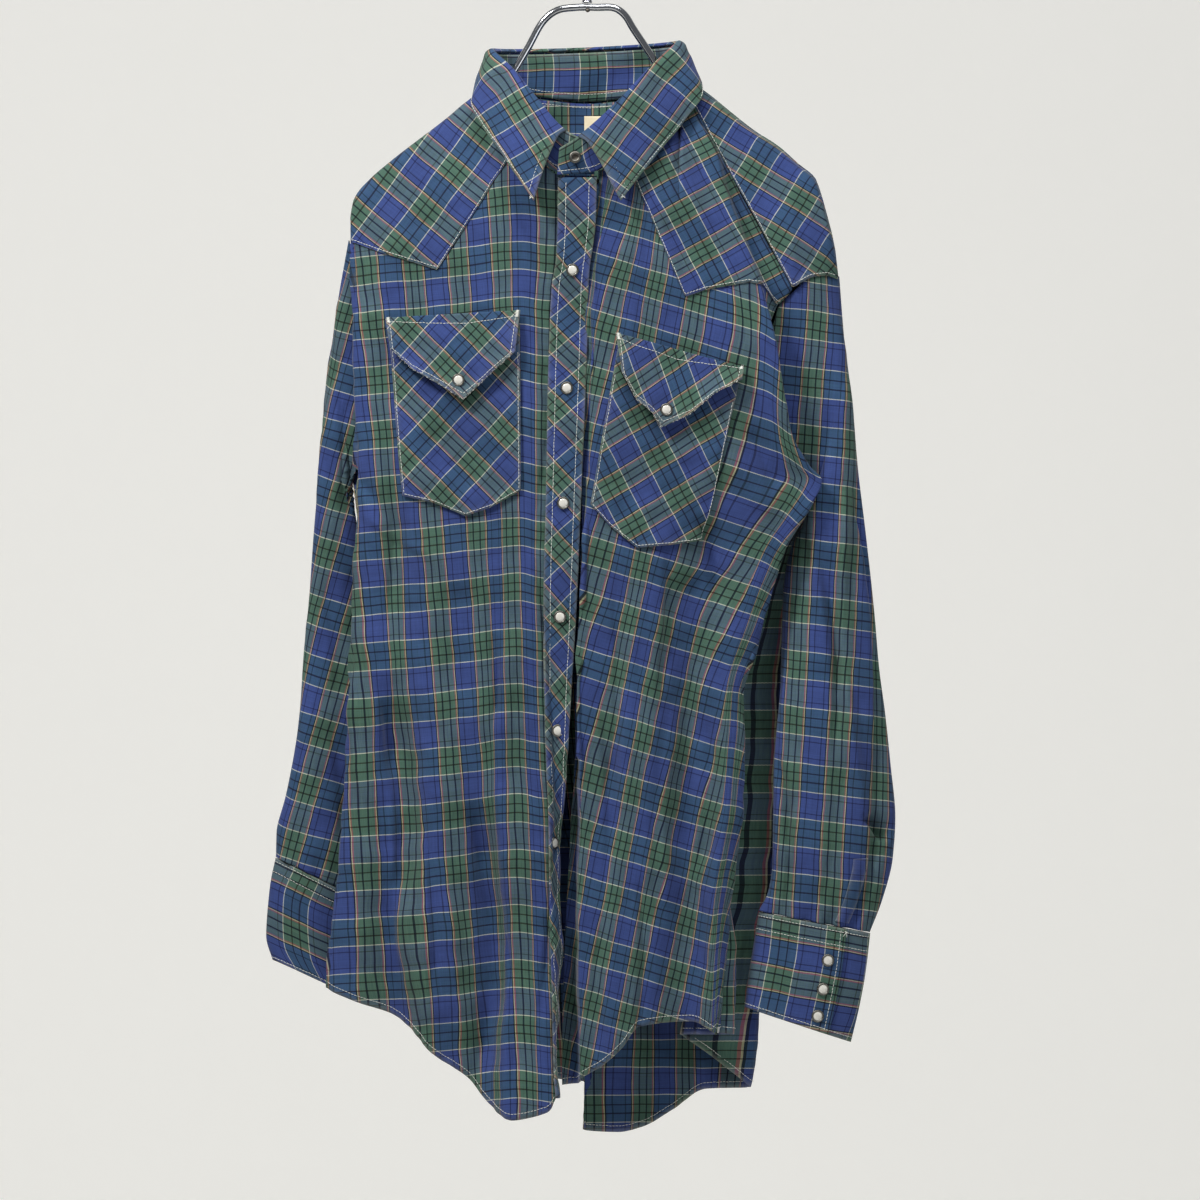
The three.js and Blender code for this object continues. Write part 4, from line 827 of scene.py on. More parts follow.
def thread_material():
    m = Shader("white_thread")
    place = m.add("ShaderNodeTexCoord").outputs["Object"]
    ply = m.add("ShaderNodeTexWave", {"bands_direction": "DIAGONAL"}, Scale=900.0, Distortion=1.0)
    m.join(ply.inputs["Vector"], place)
    tone = m.noise(place, 160.0, 2.0)
    colour = m.mix(tone, srgb(206, 208, 200), srgb(240, 240, 232))
    m.join(m.surface.inputs["Base Color"], colour)
    bump = m.add("ShaderNodeBump", Strength=0.4, Distance=0.0002, Height=ply.outputs["Fac"])
    m.join(m.surface.inputs["Normal"], bump.outputs[0])
    m.surface.inputs["Roughness"].default_value = 0.7
    return m.material


def pearl_material():
    m = Shader("pearl_cap")
    place = m.add("ShaderNodeTexCoord").outputs["Object"]
    cloud = m.noise(place, 240.0, 3.0, 0.6)
    colour = m.mix(cloud, srgb(196, 192, 182), srgb(232, 230, 222))
    m.join(m.surface.inputs["Base Color"], colour)
    bump = m.add("ShaderNodeBump", Strength=0.1, Distance=0.0002, Height=cloud)
    m.join(m.surface.inputs["Normal"], bump.outputs[0])
    m.surface.inputs["Roughness"].default_value = 0.22
    m.surface.inputs["Coat Weight"].default_value = 0.6
    m.surface.inputs["Coat Roughness"].default_value = 0.08
    return m.material


def metal_material(name, colour, roughness, scratch):
    m = Shader(name)
    place = m.add("ShaderNodeTexCoord").outputs["Object"]
    fine = m.noise(m.scaled(place, 1.0, 1.0, 6.0), 300.0, 3.0, 0.6)
    rough = m.add("ShaderNodeMapRange", Value=fine, i1=0.3, i2=0.7, i3=roughness * 0.7, i4=roughness * 1.5)
    m.join(m.surface.inputs["Roughness"], rough.outputs[0])
    dull = m.noise(place, 25.0, 3.0, 0.6)
    m.join(m.surface.inputs["Base Color"], m.mix(dull, srgb(*colour), srgb(*[c * 0.86 for c in colour])))
    bump = m.add("ShaderNodeBump", Strength=scratch, Distance=0.0001, Height=fine)
    m.join(m.surface.inputs["Normal"], bump.outputs[0])
    m.surface.inputs["Metallic"].default_value = 1.0
    return m.material


def label_material():
    m = Shader("blank_label")
    place = m.add("ShaderNodeTexCoord").outputs["Object"]
    rows = m.add("ShaderNodeTexWave", {"bands_direction": "Z"}, Scale=260.0, Distortion=0.4)
    m.join(rows.inputs["Vector"], place)
    stain = m.noise(place, 90.0, 3.0, 0.6)
    colour = m.mix(stain, srgb(212, 196, 160), srgb(232, 220, 192))
    m.join(m.surface.inputs["Base Color"], colour)
    bump = m.add("ShaderNodeBump", Strength=0.3, Distance=0.0002, Height=rows.outputs["Fac"])
    m.join(m.surface.inputs["Normal"], bump.outputs[0])
    m.surface.inputs["Roughness"].default_value = 0.8
    return m.material


PLAID = plaid("woven_plaid")
THREAD = thread_material()
PEARL = pearl_material()
CHROME = metal_material("chrome_tube", (214, 216, 220), 0.12, 0.05)
RIM = metal_material("snap_rim", (118, 116, 110), 0.34, 0.1)
RIVET = metal_material("dark_rivet", (90, 86, 80), 0.4, 0.2)
LABEL = label_material()


# Body panels
def panel_piece(name, panel, upper, lower, columns, rows, out, cloth, worn_sides="", first=None, last=None):
    """A body piece between two edge functions of the width across its panel."""
    start = panel.keys[0] if first is None else first
    stop = panel.keys[-1] if last is None else last

    def place(s, t):
        across = start + (stop - start) * s
        high, low = upper(across), lower(across)
        return across, high + (low - high) * t

    def points(s, t):
        across, z = place(s, t)
        return panel.point(across, z, out)

    def cloth_at(s, t, p):
        across, z = place(s, t)
        return cloth(across, z, p[:, 0])
    worn = near_edges(stop - start, 600, 1.6, worn_sides) if worn_sides else None
    return grid_piece(name, columns, rows, points, cloth_at, worn)


def body():
    tuck = 7  # how far the fronts and the back run up under their yokes
    mesh = panel_piece("right_front_cloth", right_front,
                       lambda a: right_front.crossing(front_top_right, a) + np.where(a < 150, tuck, 0),
                       hem_right, 120, 220, PANEL_OUT, right_front_cloth, "b")
    piece = placed("right_front_cloth", mesh, PLAID, ["right_front"], THIN)
    hung(piece, 268, 730, 0.86, ["right_front_yoke_cloth", "hanger_bar"])
    mesh = panel_piece("left_front_cloth", left_front,
                       lambda a: left_front.crossing(front_top_left, a) + np.where(a > 54, tuck, 0),
                       hem_left, 120, 212, PANEL_OUT, left_front_cloth, "b")
    piece = placed("left_front_cloth", mesh, PLAID, ["left_front"], THIN)
    hung(piece, 262, 725, 0.86, ["left_front_yoke_cloth", "hanger_bar"])
    mesh = panel_piece("back_cloth", back, lambda a: back.crossing(yoke_edge_back, a) + tuck,
                       hem_back, 146, 180, PANEL_OUT, back_cloth, "b")
    piece = placed("back_cloth", mesh, PLAID, ["back"], THIN)
    hung(piece, 500, 680, 0.9, ["back_yoke_cloth", "hanger_bar"])


def slanted(cloth):
    return lambda across, z, x: cloth(x, z)


def front_yokes():
    top = lambda x: top_right_front(x)[0] - 0.2
    mesh = panel_piece("right_front_yoke_cloth", right_front, lambda a: right_front.crossing(top, a),
                       lambda a: right_front.crossing(yoke_edge_right, a), 94, 78, YOKE_OUT,
                       slanted(right_yoke_cloth), "b", 0, 153)
    piece = placed("right_front_yoke_cloth", mesh, PLAID, ["right_front_yoke"], THIN)
    hung(piece, 160, 150, 0.62, ["hanger_bar"])
    top = lambda x: np.where(x < 73, top_left_front(x)[0], -124.0)
    mesh = panel_piece("left_front_yoke_cloth", left_front, lambda a: left_front.crossing(top, a),
                       lambda a: left_front.crossing(yoke_edge_left, a), 94, 86, YOKE_OUT,
                       slanted(left_yoke_cloth), "b", 50, 186)
    piece = placed("left_front_yoke_cloth", mesh, PLAID, ["left_front_yoke"], THIN)
    hung(piece, 160, 190, 0.55, ["hanger_bar"])


NECK_END = 76.4
YOKE_LEFT, YOKE_RIGHT = 201, -189.5


def yoke_ridge(x):
    ridge = top_back(x)[0]
    across = back.width_at(x, ridge - 0.2)
    seam_z, seam_y = shoulder_seam(x)
    reach = np.where(x > NECK_END, np.maximum(0, ridge - seam_z - 0.8), 0)
    return ridge, across, seam_y, reach


def yoke_front_point(x, share, out=0.0):
    """The back yoke in front of the shoulder ridge: share 0 on its seam, 1 on the ridge."""
    ridge, across, seam_y, reach = yoke_ridge(x)
    below = reach * (1 - share)
    own = np.maximum(np.abs(over_arm(seam_y, reach)), 0.3)
    y = over_arm(seam_y, below) * np.abs(seam_y) / own
    wave = yoke_waves(x, ridge - below) * ease(below / 30) * ease((reach - below) / 12)
    return np.stack([x, y - out - wave * 0.9, ridge - below], axis=-1)


yoke_waves = waves(21, 6, 22, 70)


def back_yoke():
    shoulder = lambda s: YOKE_LEFT + (NECK_END + 0.2 - YOKE_LEFT) * s

    def front(s, t):
        return yoke_front_point(shoulder(s), t, YOKE_OUT)

    def over(s, t):
        x = YOKE_LEFT + (YOKE_RIGHT - YOKE_LEFT) * s
        ridge, across, _, _ = yoke_ridge(x)
        low = back.crossing(yoke_edge_back, across)
        high = ridge - 0.1
        return back.point(across, high + (low - high) * t ** 1.5, YOKE_OUT)
    # The cloth runs on over the shoulder, so its own length is followed from the ridge both ways
    front_down = arcs(front)[1]
    rear_down = arcs(over)[1]

    def front_cloth(s, t, p):
        x = shoulder(s)
        ridge = top_back(x)[0]
        return back_yoke_cloth(x, ridge - (front_down(s, np.ones_like(t)) - front_down(s, t)))

    def rear_cloth(s, t, p):
        x = YOKE_LEFT + (YOKE_RIGHT - YOKE_LEFT) * s
        return back_yoke_cloth(x, top_back(x)[0] + rear_down(s, t))
    parts = [grid_piece("yoke_front", 70, 34, front, front_cloth, near_edges(200, 60, 1.6, "t")),
             grid_piece("yoke_rear", 150, 72, over, rear_cloth, near_edges(400, 150, 1.6, "b"))]
    bm = bmesh.new()
    for part in parts:
        bm.from_mesh(part)
    mesh = bpy.data.meshes.new("back_yoke_cloth")
    bm.to_mesh(mesh)
    bm.free()
    piece = placed("back_yoke_cloth", mesh, PLAID, ["back_yoke"], THIN)
    hung(piece, 480, 260, 0.72, ["hanger_bar"])
    # The facing inside it, on the straight grain, shows in the neck

    def facing(s, t):
        x = 72 + (-74 - 72) * s
        high = top_back(x)[0] - 1
        across = back.width_at(x, high)
        low = high - 62
        return back.point(across, high + (low - high) * t, -1.3)
    mesh = grid_piece("back_yoke_facing", 90, 40, facing, lambda s, t, p: (p[:, 0] + 31.2, -p[:, 2] - 8))
    piece = placed("back_yoke_facing", mesh, PLAID, [], THIN)
    hung(piece, 160, 66, 0.95, ["back_yoke_cloth"])


# Sleeves and cuffs
def ring_points(row, turn):
    """A flattened ring round a limb, from its outer edge round the front to its inner edge and back."""
    outer, inner, half = np.array(row[0:3]), np.array(row[3:6]), row[6]
    side, share = np.sin(turn), (1 + np.cos(turn)) / 2
    p = inner + (outer - inner) * share[:, None]
    p[:, 1] -= np.sign(side) * np.abs(side) ** 0.85 * half
    return p


def limb_points(hole, rows, s, t):
    """Places on a limb: s runs round it from under the arm, t down it. Angle 0 is its outer edge."""
    turn = np.radians((180 + 360 * s) % 360)
    rings = [ring_points(row, turn) for row in rows]
    if hole is not None:
        at = table([*hole, [360, *hole[0][1:]]])
        rings.insert(0, np.stack(at(np.degrees(turn)), axis=-1))
    rings = np.array(rings)
    keys = np.arange(len(rings))
    key = t * (len(rings) - 1)
    return np.stack([along(keys, rings[:, :, c], key) for c in range(3)], axis=-1)


class Limb:
    """One sleeve or cuff, with its creases on the front and on the rear."""

    def __init__(self, hole, rows, seed, front_creases=(), rear_creases=(), gather=0.0, low=1.0):
        self.hole, self.rows = hole, rows
        self.front_creases, self.rear_creases = front_creases, rear_creases
        self.gather, self.low = gather, low
        self.low_waves, self.small_waves = waves(seed, 7, 34, 120), waves(seed + 9, 8, 11, 30)

    def plain(self, s, t):
        return limb_points(self.hole, self.rows, s % 1.0, np.clip(t, 0, 1))

    def normal(self, s, t):
        u = self.plain(s + 0.006, t) - self.plain(s - 0.006, t)
        w = self.plain(s, np.minimum(t + 0.006, 1)) - self.plain(s, np.maximum(t - 0.006, 0))
        n = unit(np.cross(u, w))
        away = self.plain(s, t) - self.plain(s + 0.5, t)
        return np.where(np.sum(n * away, axis=1)[:, None] < 0, -n, n)

    def point(self, s, t, out=0.0):
        s, t = np.broadcast_arrays(np.asarray(s, float), np.asarray(t, float))
        p = self.plain(s, t)
        turn = np.sin(np.radians(180 + 360 * s))
        front, rear = ease(turn / 0.35), ease(-turn / 0.35)
        height = front * creases(self.front_creases, p[:, 0], p[:, 2])
        height = height + rear * creases(self.rear_creases, p[:, 0], p[:, 2])
        flat = (front + rear) * ease(t * 14)
        across = np.cos(np.radians(180 + 360 * s)) * 50 + np.sign(turn) * 300
        height = height + flat * (self.low * self.low_waves(across, p[:, 2])
                                  + 0.3 * self.low * self.small_waves(across, p[:, 2]))
        low = np.exp(-(1 - t) * 560 / 34) * self.gather
        height = height + low * np.sin(across / 3.6 + 1.3 * np.sin(across / 17)) * (front + rear)
        return p + self.normal(s, t) * (height + out)[:, None]


def sleeve(name, limb, node, front, edge, side, length, width):
    """A sleeve whose grain is straight on its front and folds round its outer edge to its rear.

    front gives u and v at an x and z, edge is the outer edge's x over height, and side is its sign.
    """
    def cloth(s, t, p):
        x, z = p[:, 0], p[:, 2]
        turn = np.radians(180 + 360 * s)
        turned = side * np.sign(np.cos(turn)) * 9 * (1 - np.abs(np.sin(turn))) ** 2
        flat = np.where(s > 0.5, x + turned, 2 * (edge(z) + side * 9) - x - turned)
        return front(flat, z)
    mesh = grid_piece(name, 104, 168, limb.point, cloth, None, True)
    piece = placed(name, mesh, PLAID, [node], THIN)
    hung(piece, width, length, 0.86, ["hanger_bar"])


right_sleeve_cloth = laid((-197.1, -395.8), (29.7, 0), (0.963, -0.27), (-0.27, -0.963), 0.95)
LEFT_BAND = line([[-800, 147.5], [-760, 149], [-686, 153.4], [-486, 164.6], [-377, 171.2], [-281.6, 180.4]])
RIGHT_OUTER = line([[row[2], row[0]] for row in RIGHT_SLEEVE] + [[-250, -192]])
LEFT_OUTER = line([[row[2], row[0]] for row in LEFT_SLEEVE] + [[-281, 202]])


LEFT_WEFT = line([[-900, 363], [-533.1, 0], [-304.4, -221], [-200, -321]])


def left_sleeve_cloth(x, z):
    return 0.96 * (x - LEFT_BAND(z)), LEFT_WEFT(z + 0.115 * (x - 162))


RIGHT_CUFF = [
    [-249.5, 9, -744.8, -163, 28, -787.8, 13], [-254, 9, -768, -165, 28, -815, 12.5],
    [-257, 8, -806, -166, 27, -845, 12], [-252, 8, -826, -167, 26, -866, 11.5],
]
LEFT_CUFF = [
    [226.5, 0, -804.8, 138.5, -6, -787.8, 14], [223, 0, -835, 134, -6, -815, 13.5],
    [217.5, 0, -865, 130, -6, -840, 13], [211, 0, -892, 127, -6, -864, 12.5],
]
right_sleeve = Limb(RIGHT_ARMHOLE, RIGHT_SLEEVE, 31, [
    [-205, -330, -196, -480, -2.6, 6], [-208, -370, -206, -520, 2.2, 6], [-196, -470, -172, -545, 2.4, 7],
    [-214, -520, -200, -620, -2.4, 7], [-190, -560, -176, -700, 2.0, 7], [-226, -600, -214, -720, 1.8, 7],
    [-206, -640, -196, -735, -2.6, 6], [-180, -660, -172, -760, -2.0, 6]], [
    [-205, -330, -200, -500, 2.2, 7], [-190, -480, -175, -600, -2.6, 7], [-215, -540, -200, -700, 2.0, 8],
    [-180, -620, -178, -740, -2.2, 7]], 1.3)
left_sleeve = Limb(LEFT_ARMHOLE, LEFT_SLEEVE, 37, [
    [208, -362, 206, -430, 2.0, 4], [206, -430, 211, -520, -2.4, 6], [186, -500, 200, -600, -3.2, 7],
    [200, -580, 197, -615, -2.4, 6], [211, -540, 217, -615, 2.2, 5], [180, -560, 172, -700, 2.4, 8],
    [200, -660, 190, -780, -2.6, 8], [228, -640, 226, -760, -2.2, 7], [166, -600, 160, -720, -2.0, 7],
    [222, -711, 239, -731, -12, 4.5], [231, -724, 213, -795, -5, 3],
    [208, -440, 222, -720, 7, 4], [216, -450, 230, -700, -6.5, 4.5], [150, -660, 159, -786, -7, 3.5],
    [188, -520, 198, -660, -6, 4], [182, -420, 190, -560, 4, 5],
    [184, -340, 196, -420, -2.2, 6], [216, -680, 206, -790, 2.4, 7], [168, -700, 158, -780, 2.2, 6]], [
    [190, -380, 200, -520, -2.4, 7], [210, -500, 220, -660, 2.2, 8], [180, -560, 170, -740, -2.6, 8],
    [215, -640, 212, -780, 2.0, 8]], 1.5)
right_cuff = Limb(None, RIGHT_CUFF, 41, low=0.5)
left_cuff = Limb(None, LEFT_CUFF, 43, low=0.5)


OVERLAP_EDGE = 0.653  # share of the turn where the cuff's lapped end shows
OVERLAP_OUT = 1.8


def overlap(s):
    """How far the cuff's lapped end stands off its other end, over the turn round the cuff."""
    return np.where((s > OVERLAP_EDGE - 0.001) & (s < 0.99), OVERLAP_OUT * ease((0.99 - s) / 0.2), 0)


def cuff(name, limb, node, shift, first, last, width):
    """A turned cuff: its warp runs round it, so the sett's bands lie along it."""
    def points(s, t):
        turn = first + (last - first) * s
        return limb.point(turn, t, 0 if last - first > 0.99 else overlap(turn))
    across, down = arcs(points, 90, 30)

    def cloth(s, t, p):
        return 0.84 * down(s, t) + shift, across(s, t) + 5.5
    whole = last - first > 0.99
    worn = near_edges(width, 88, 1.8, "tb" if whole else "rtb")
    mesh = grid_piece(name, 120, 44, points, cloth, worn, whole)
    piece = placed(name, mesh, PLAID, [node] if node else [], TURNED)
    hung(piece, width, 90, 0.98, ["left_sleeve_cloth" if "left" in name else "right_sleeve_cloth"])
    return piece


def sleeves():
    sleeve("right_sleeve_cloth", right_sleeve, "right_sleeve", right_sleeve_cloth, RIGHT_OUTER, -1, 520, 190)
    sleeve("left_sleeve_cloth", left_sleeve, "left_sleeve", left_sleeve_cloth, LEFT_OUTER, 1, 520, 230)
    cuff("right_cuff_cloth", right_cuff, "right_cuff", 1.8, 0, 1, 190)
    cuff("left_cuff_cloth", left_cuff, "left_cuff", 1.8, 0, 1, 190)
    cuff("left_cuff_overlap", left_cuff, None, 1.8, OVERLAP_EDGE, 0.985, 68)


# Collar
NECK_LIFT = 1.7


def neck_seam(t, x, y, z):
    free = (t < 8) | (t > 95)
    right, left = t < 29, t > 75
    edge_z = np.where(right, top_right_front(x)[0], np.where(left, top_left_front(x)[0], top_back(x)[0]))
    edge_y = np.where(right, top_right_front(x)[1], np.where(left, top_left_front(x)[1], top_back(x)[1]))
    return np.where(free, y, edge_y), np.where(free, z, edge_z + NECK_LIFT)


def stand_point(s, t):
    nx, ny, nz, fx, fy, fz = stand_at(s * 100)
    seam_y, seam_z = neck_seam(s * 100, nx, ny, nz)
    return np.stack([fx + (nx - fx) * t, fy + (seam_y - fy) * t, fz + (seam_z - fz) * t], axis=-1)


def leaf_point(s, t, lift=0.0):
    share = 5 + 92 * s
    _, _, _, fx, fy, fz = stand_at(share)
    ex, ey, ez = leaf_edge(share)
    away = unit(np.stack([ex - fx * 0.8, ey - fy * 0.8, np.zeros_like(fx)], axis=-1))
    fall, out, up = fall_of(t)
    up = up * (0.1 + 0.9 * ease(np.minimum(s, 1 - s) / 0.16))
    base = np.stack([fx + (ex - fx) * fall, fy + (ey - fy) * fall, fz + (ez - fz) * fall + up], axis=-1)
    wave = leaf_waves(share * 6, fall * 60) * 0.7 * ease(fall * 3)
    return base + away * (out + wave + lift)[:, None]


leaf_waves = waves(61, 6, 24, 80)


def fall_of(t):
    """Share of the leaf's fall, distance out and height at a share down its rows."""
    rows = [[i / (len(LEAF_ROWS) - 1), *row] for i, row in enumerate(LEAF_ROWS)]
    steps = table(rows)
    return steps(np.clip(t, 0, 1))


def collar():
    across, down = arcs(stand_point, 120, 12)
    mesh = grid_piece("collar_stand_cloth", 240, 14, stand_point,
                      lambda s, t, p: (down(s, t) + 3, across(s, t)), near_edges(460, 30, 1.2, "t"))
    piece = placed("collar_stand_cloth", mesh, PLAID, ["collar_stand"], TURNED)
    hung(piece, 450, 34, 0.85, ["right_front_yoke_cloth", "back_yoke_cloth"])
    leaf_across, leaf_down = arcs(leaf_point, 120, 40)

    def cloth(s, t, p):
        edge = np.ones_like(t)
        shift = 36 + (17.5 - 36) * ease((s - 0.35) / 0.3)
        u = shift - (leaf_down(s, edge) - leaf_down(s, t)) - 11.4 * ease((s - 0.35) / 0.3)
        v = leaf_across(s, edge) - 16.5 + 20.8 * ease((s - 0.35) / 0.3)
        # Both points lie flat, so the grain runs straight along their outer edges there
        x, z = p[:, 0], p[:, 2]
        right = 1 - ease((s - 0.14) / 0.14)
        left = ease((s - 0.72) / 0.14)
        right_u = 36 - 0.854 * (x + 42.4) - 0.52 * (z + 219.2)
        right_v = -16.5 - 0.52 * (x + 42.4) + 0.854 * (z + 219.2)
        left_u = 6.1 + 0.804 * (x - 27.2) - 0.594 * (z + 216.8)
        left_v = leaf_across(edge, edge) + 4.3 - 0.594 * (x - 27.2) - 0.804 * (z + 216.8)
        u = u + right * (right_u - u) + left * (left_u - u)
        return u, v + right * (right_v - v) + left * (left_v - v)
    mesh = grid_piece("collar_leaf_cloth", 220, 46, leaf_point, cloth, near_edges(460, 70, 1.6, "lrb"))
    piece = placed("collar_leaf_cloth", mesh, PLAID, ["collar_leaf"], TURNED)
    hung(piece, 500, 74, 0.9, ["collar_stand_cloth"])


# Front placket
PLACKET_LEFT, PLACKET_RIGHT, PLACKET_TOP, PLACKET_HEM = 178, 205, -200, -936
placket_waves = waves(71, 6, 16, 46)


def placket_point(c, z, out=0.0):
    """A place on the placket: c from 0 to 1 across it."""
    across = PLACKET_LEFT + (PLACKET_RIGHT - PLACKET_LEFT) * c
    swell = placket_waves(across, z) * 0.35
    near_stitch = np.exp(-np.minimum(np.abs(c - 0.2), np.abs(c - 0.8)) * 27 / 1.3)
    return right_front.point(across, z, PLACKET_OUT + swell - 0.3 * near_stitch + out)


def front_placket():
    def points(s, t):
        return placket_point(s, PLACKET_TOP + (PLACKET_HEM - PLACKET_TOP) * t)

    def cloth(s, t, p):
        z = PLACKET_TOP + (PLACKET_HEM - PLACKET_TOP) * t
        return placket_cloth(28 * s, z)
    mesh = grid_piece("front_placket_cloth", 22, 280, points, cloth, near_edges(28, 736, 1.3, "lrb"))
    piece = placed("front_placket_cloth", mesh, PLAID, ["front_placket"], TURNED)
    hung(piece, 29, 742, 1.0, ["right_front_cloth"])


# Pockets and flaps. Edges are points of x and z from side to side.
POCKETS = [
    {"side": "right", "panel": right_front,
     "pocket_cloth": right_pocket_cloth, "flap_cloth": right_flap_cloth,
     "upper": [[-159.5, -316], [-53.5, -318]],
     "lower": [[-147, -454], [-122, -460], [-97, -470.5], [-75, -463], [-53, -450]],
     "flap_upper": [[-160.5, -312], [-53, -306]],
     "flap_lower": [[-156, -336], [-138, -353], [-115, -367], [-98.5, -377.5], [-81, -362], [-57, -339]],
     "snap": (-102.4, -362, 3.6), "size": (108, 150), "flap_size": (108, 68), "rests": "right_front_cloth"},
    {"side": "left", "panel": left_front, "pocket_cloth": left_pocket_cloth, "flap_cloth": left_flap_cloth,
     "upper": [[24.5, -337], [120.5, -365]],
     "lower": [[3, -461], [19, -479], [40, -496], [66, -493.5], [92, -490], [101.5, -452]],
     "flap_upper": [[23, -324], [124.5, -352]],
     "flap_lower": [[28, -355], [39, -377], [52, -388], [59.5, -399.5], [82, -389], [101, -372],
                    [121.5, -361]],
     "snap": (63.2, -385.6, 3.7), "size": (112, 150), "flap_size": (112, 68), "rests": "left_front_cloth"},
]
pocket_waves = waves(81, 7, 14, 50)


def row_of(points):
    """Straight runs between the corners of a pocket's edge, each the same share of it."""
    shares = np.linspace(0, 1, len(points))
    x, z = zip(*points)
    return lambda s: (np.interp(s, shares, x), np.interp(s, shares, z))


def laid_point(spec, upper, lower, s, t, out, curl, swell):
    """A place on a pocket or flap: it lies on its panel and stands off by its curl at the lower edge."""
    ux, uz = row_of(spec[upper])(s)
    lx, lz = row_of(spec[lower])(s)
    x, z = ux + (lx - ux) * t, uz + (lz - uz) * t
    panel = spec["panel"]
    across = panel.width_at(x, z)
    inner = np.minimum(np.minimum(s, 1 - s), np.minimum(t, 1 - t))
    wave = pocket_waves(x, z) * swell * ease(inner * 9)
    return panel.point(across, z, out + curl * t * t + wave)


def pocket_point(spec, s, t, out=0.0):
    return laid_point(spec, "upper", "lower", s, t, POCKET_OUT + out, 0, 0.9)


def flap_point(spec, s, t, out=0.0):
    side_curl = 1.6 * ease((np.abs(s - 0.5) - 0.2) / 0.3) * np.sin(math.pi * np.clip(t, 0, 1)) ** 2
    return laid_point(spec, "flap_upper", "flap_lower", s, t, FLAP_OUT + out + side_curl, FLAP_CURL, 0.5)


def pockets():
    for spec in POCKETS:
        side = spec["side"]
        name = side + "_pocket_cloth"
        mesh = grid_piece(name, 80, 72, lambda s, t: pocket_point(spec, s, t),
                          lambda s, t, p: spec["pocket_cloth"](p[:, 0], p[:, 2]),
                          near_edges(105, 145, 1.6, "lrb"))
        piece = placed(name, mesh, PLAID, [side + "_pocket"], THIN)
        hung(piece, *spec["size"], 0.93, [spec["rests"]])
        name = side + "_flap_cloth"
        mesh = grid_piece(name, 90, 40, lambda s, t: flap_point(spec, s, t),
                          lambda s, t, p: spec["flap_cloth"](p[:, 0], p[:, 2]),
                          near_edges(105, 60, 3.0, "lrb"))
        piece = placed(name, mesh, PLAID, [side + "_pocket_flap"], TURNED)
        hung(piece, *spec["flap_size"], 0.72, [spec["rests"]])


def neck_label():
    def points(s, t):
        x, z = -2.4 + 16.8 * s, -148.5 - 16.7 * t
        return back.point(back.width_at(x, z), z, -2.7)
    mesh = grid_piece("blank_neck_label", 24, 24, points, lambda s, t, p: (p[:, 0], p[:, 2]))
    piece = placed("blank_neck_label", mesh, LABEL, ["neck_label"], 0.5)
    hung(piece, 17, 17, 1.0, ["back_yoke_facing"])


# Stitching: short threads laid along a seam, joined into one mesh per part of the shirt
def spaced(points, normals, pitch):
    """Centres, directions and normals at even steps along a line of points."""
    steps = np.linalg.norm(np.diff(points, axis=0), axis=1)
    run = np.concatenate([[0], np.cumsum(steps)])
    count = max(int(run[-1] / pitch), 1)
    at = (np.arange(count) + 0.5) * run[-1] / count
    centre = np.stack([np.interp(at, run, points[:, c]) for c in range(3)], axis=-1)
    ahead = np.stack([np.interp(at + 0.9, run, points[:, c]) for c in range(3)], axis=-1)
    behind = np.stack([np.interp(at - 0.9, run, points[:, c]) for c in range(3)], axis=-1)
    up = np.stack([np.interp(at, run, normals[:, c]) for c in range(3)], axis=-1)
    return centre, unit(ahead - behind), unit(up)


TOP_THREAD = 0.25  # radius of a topstitching thread
INNER_THREAD = 0.24


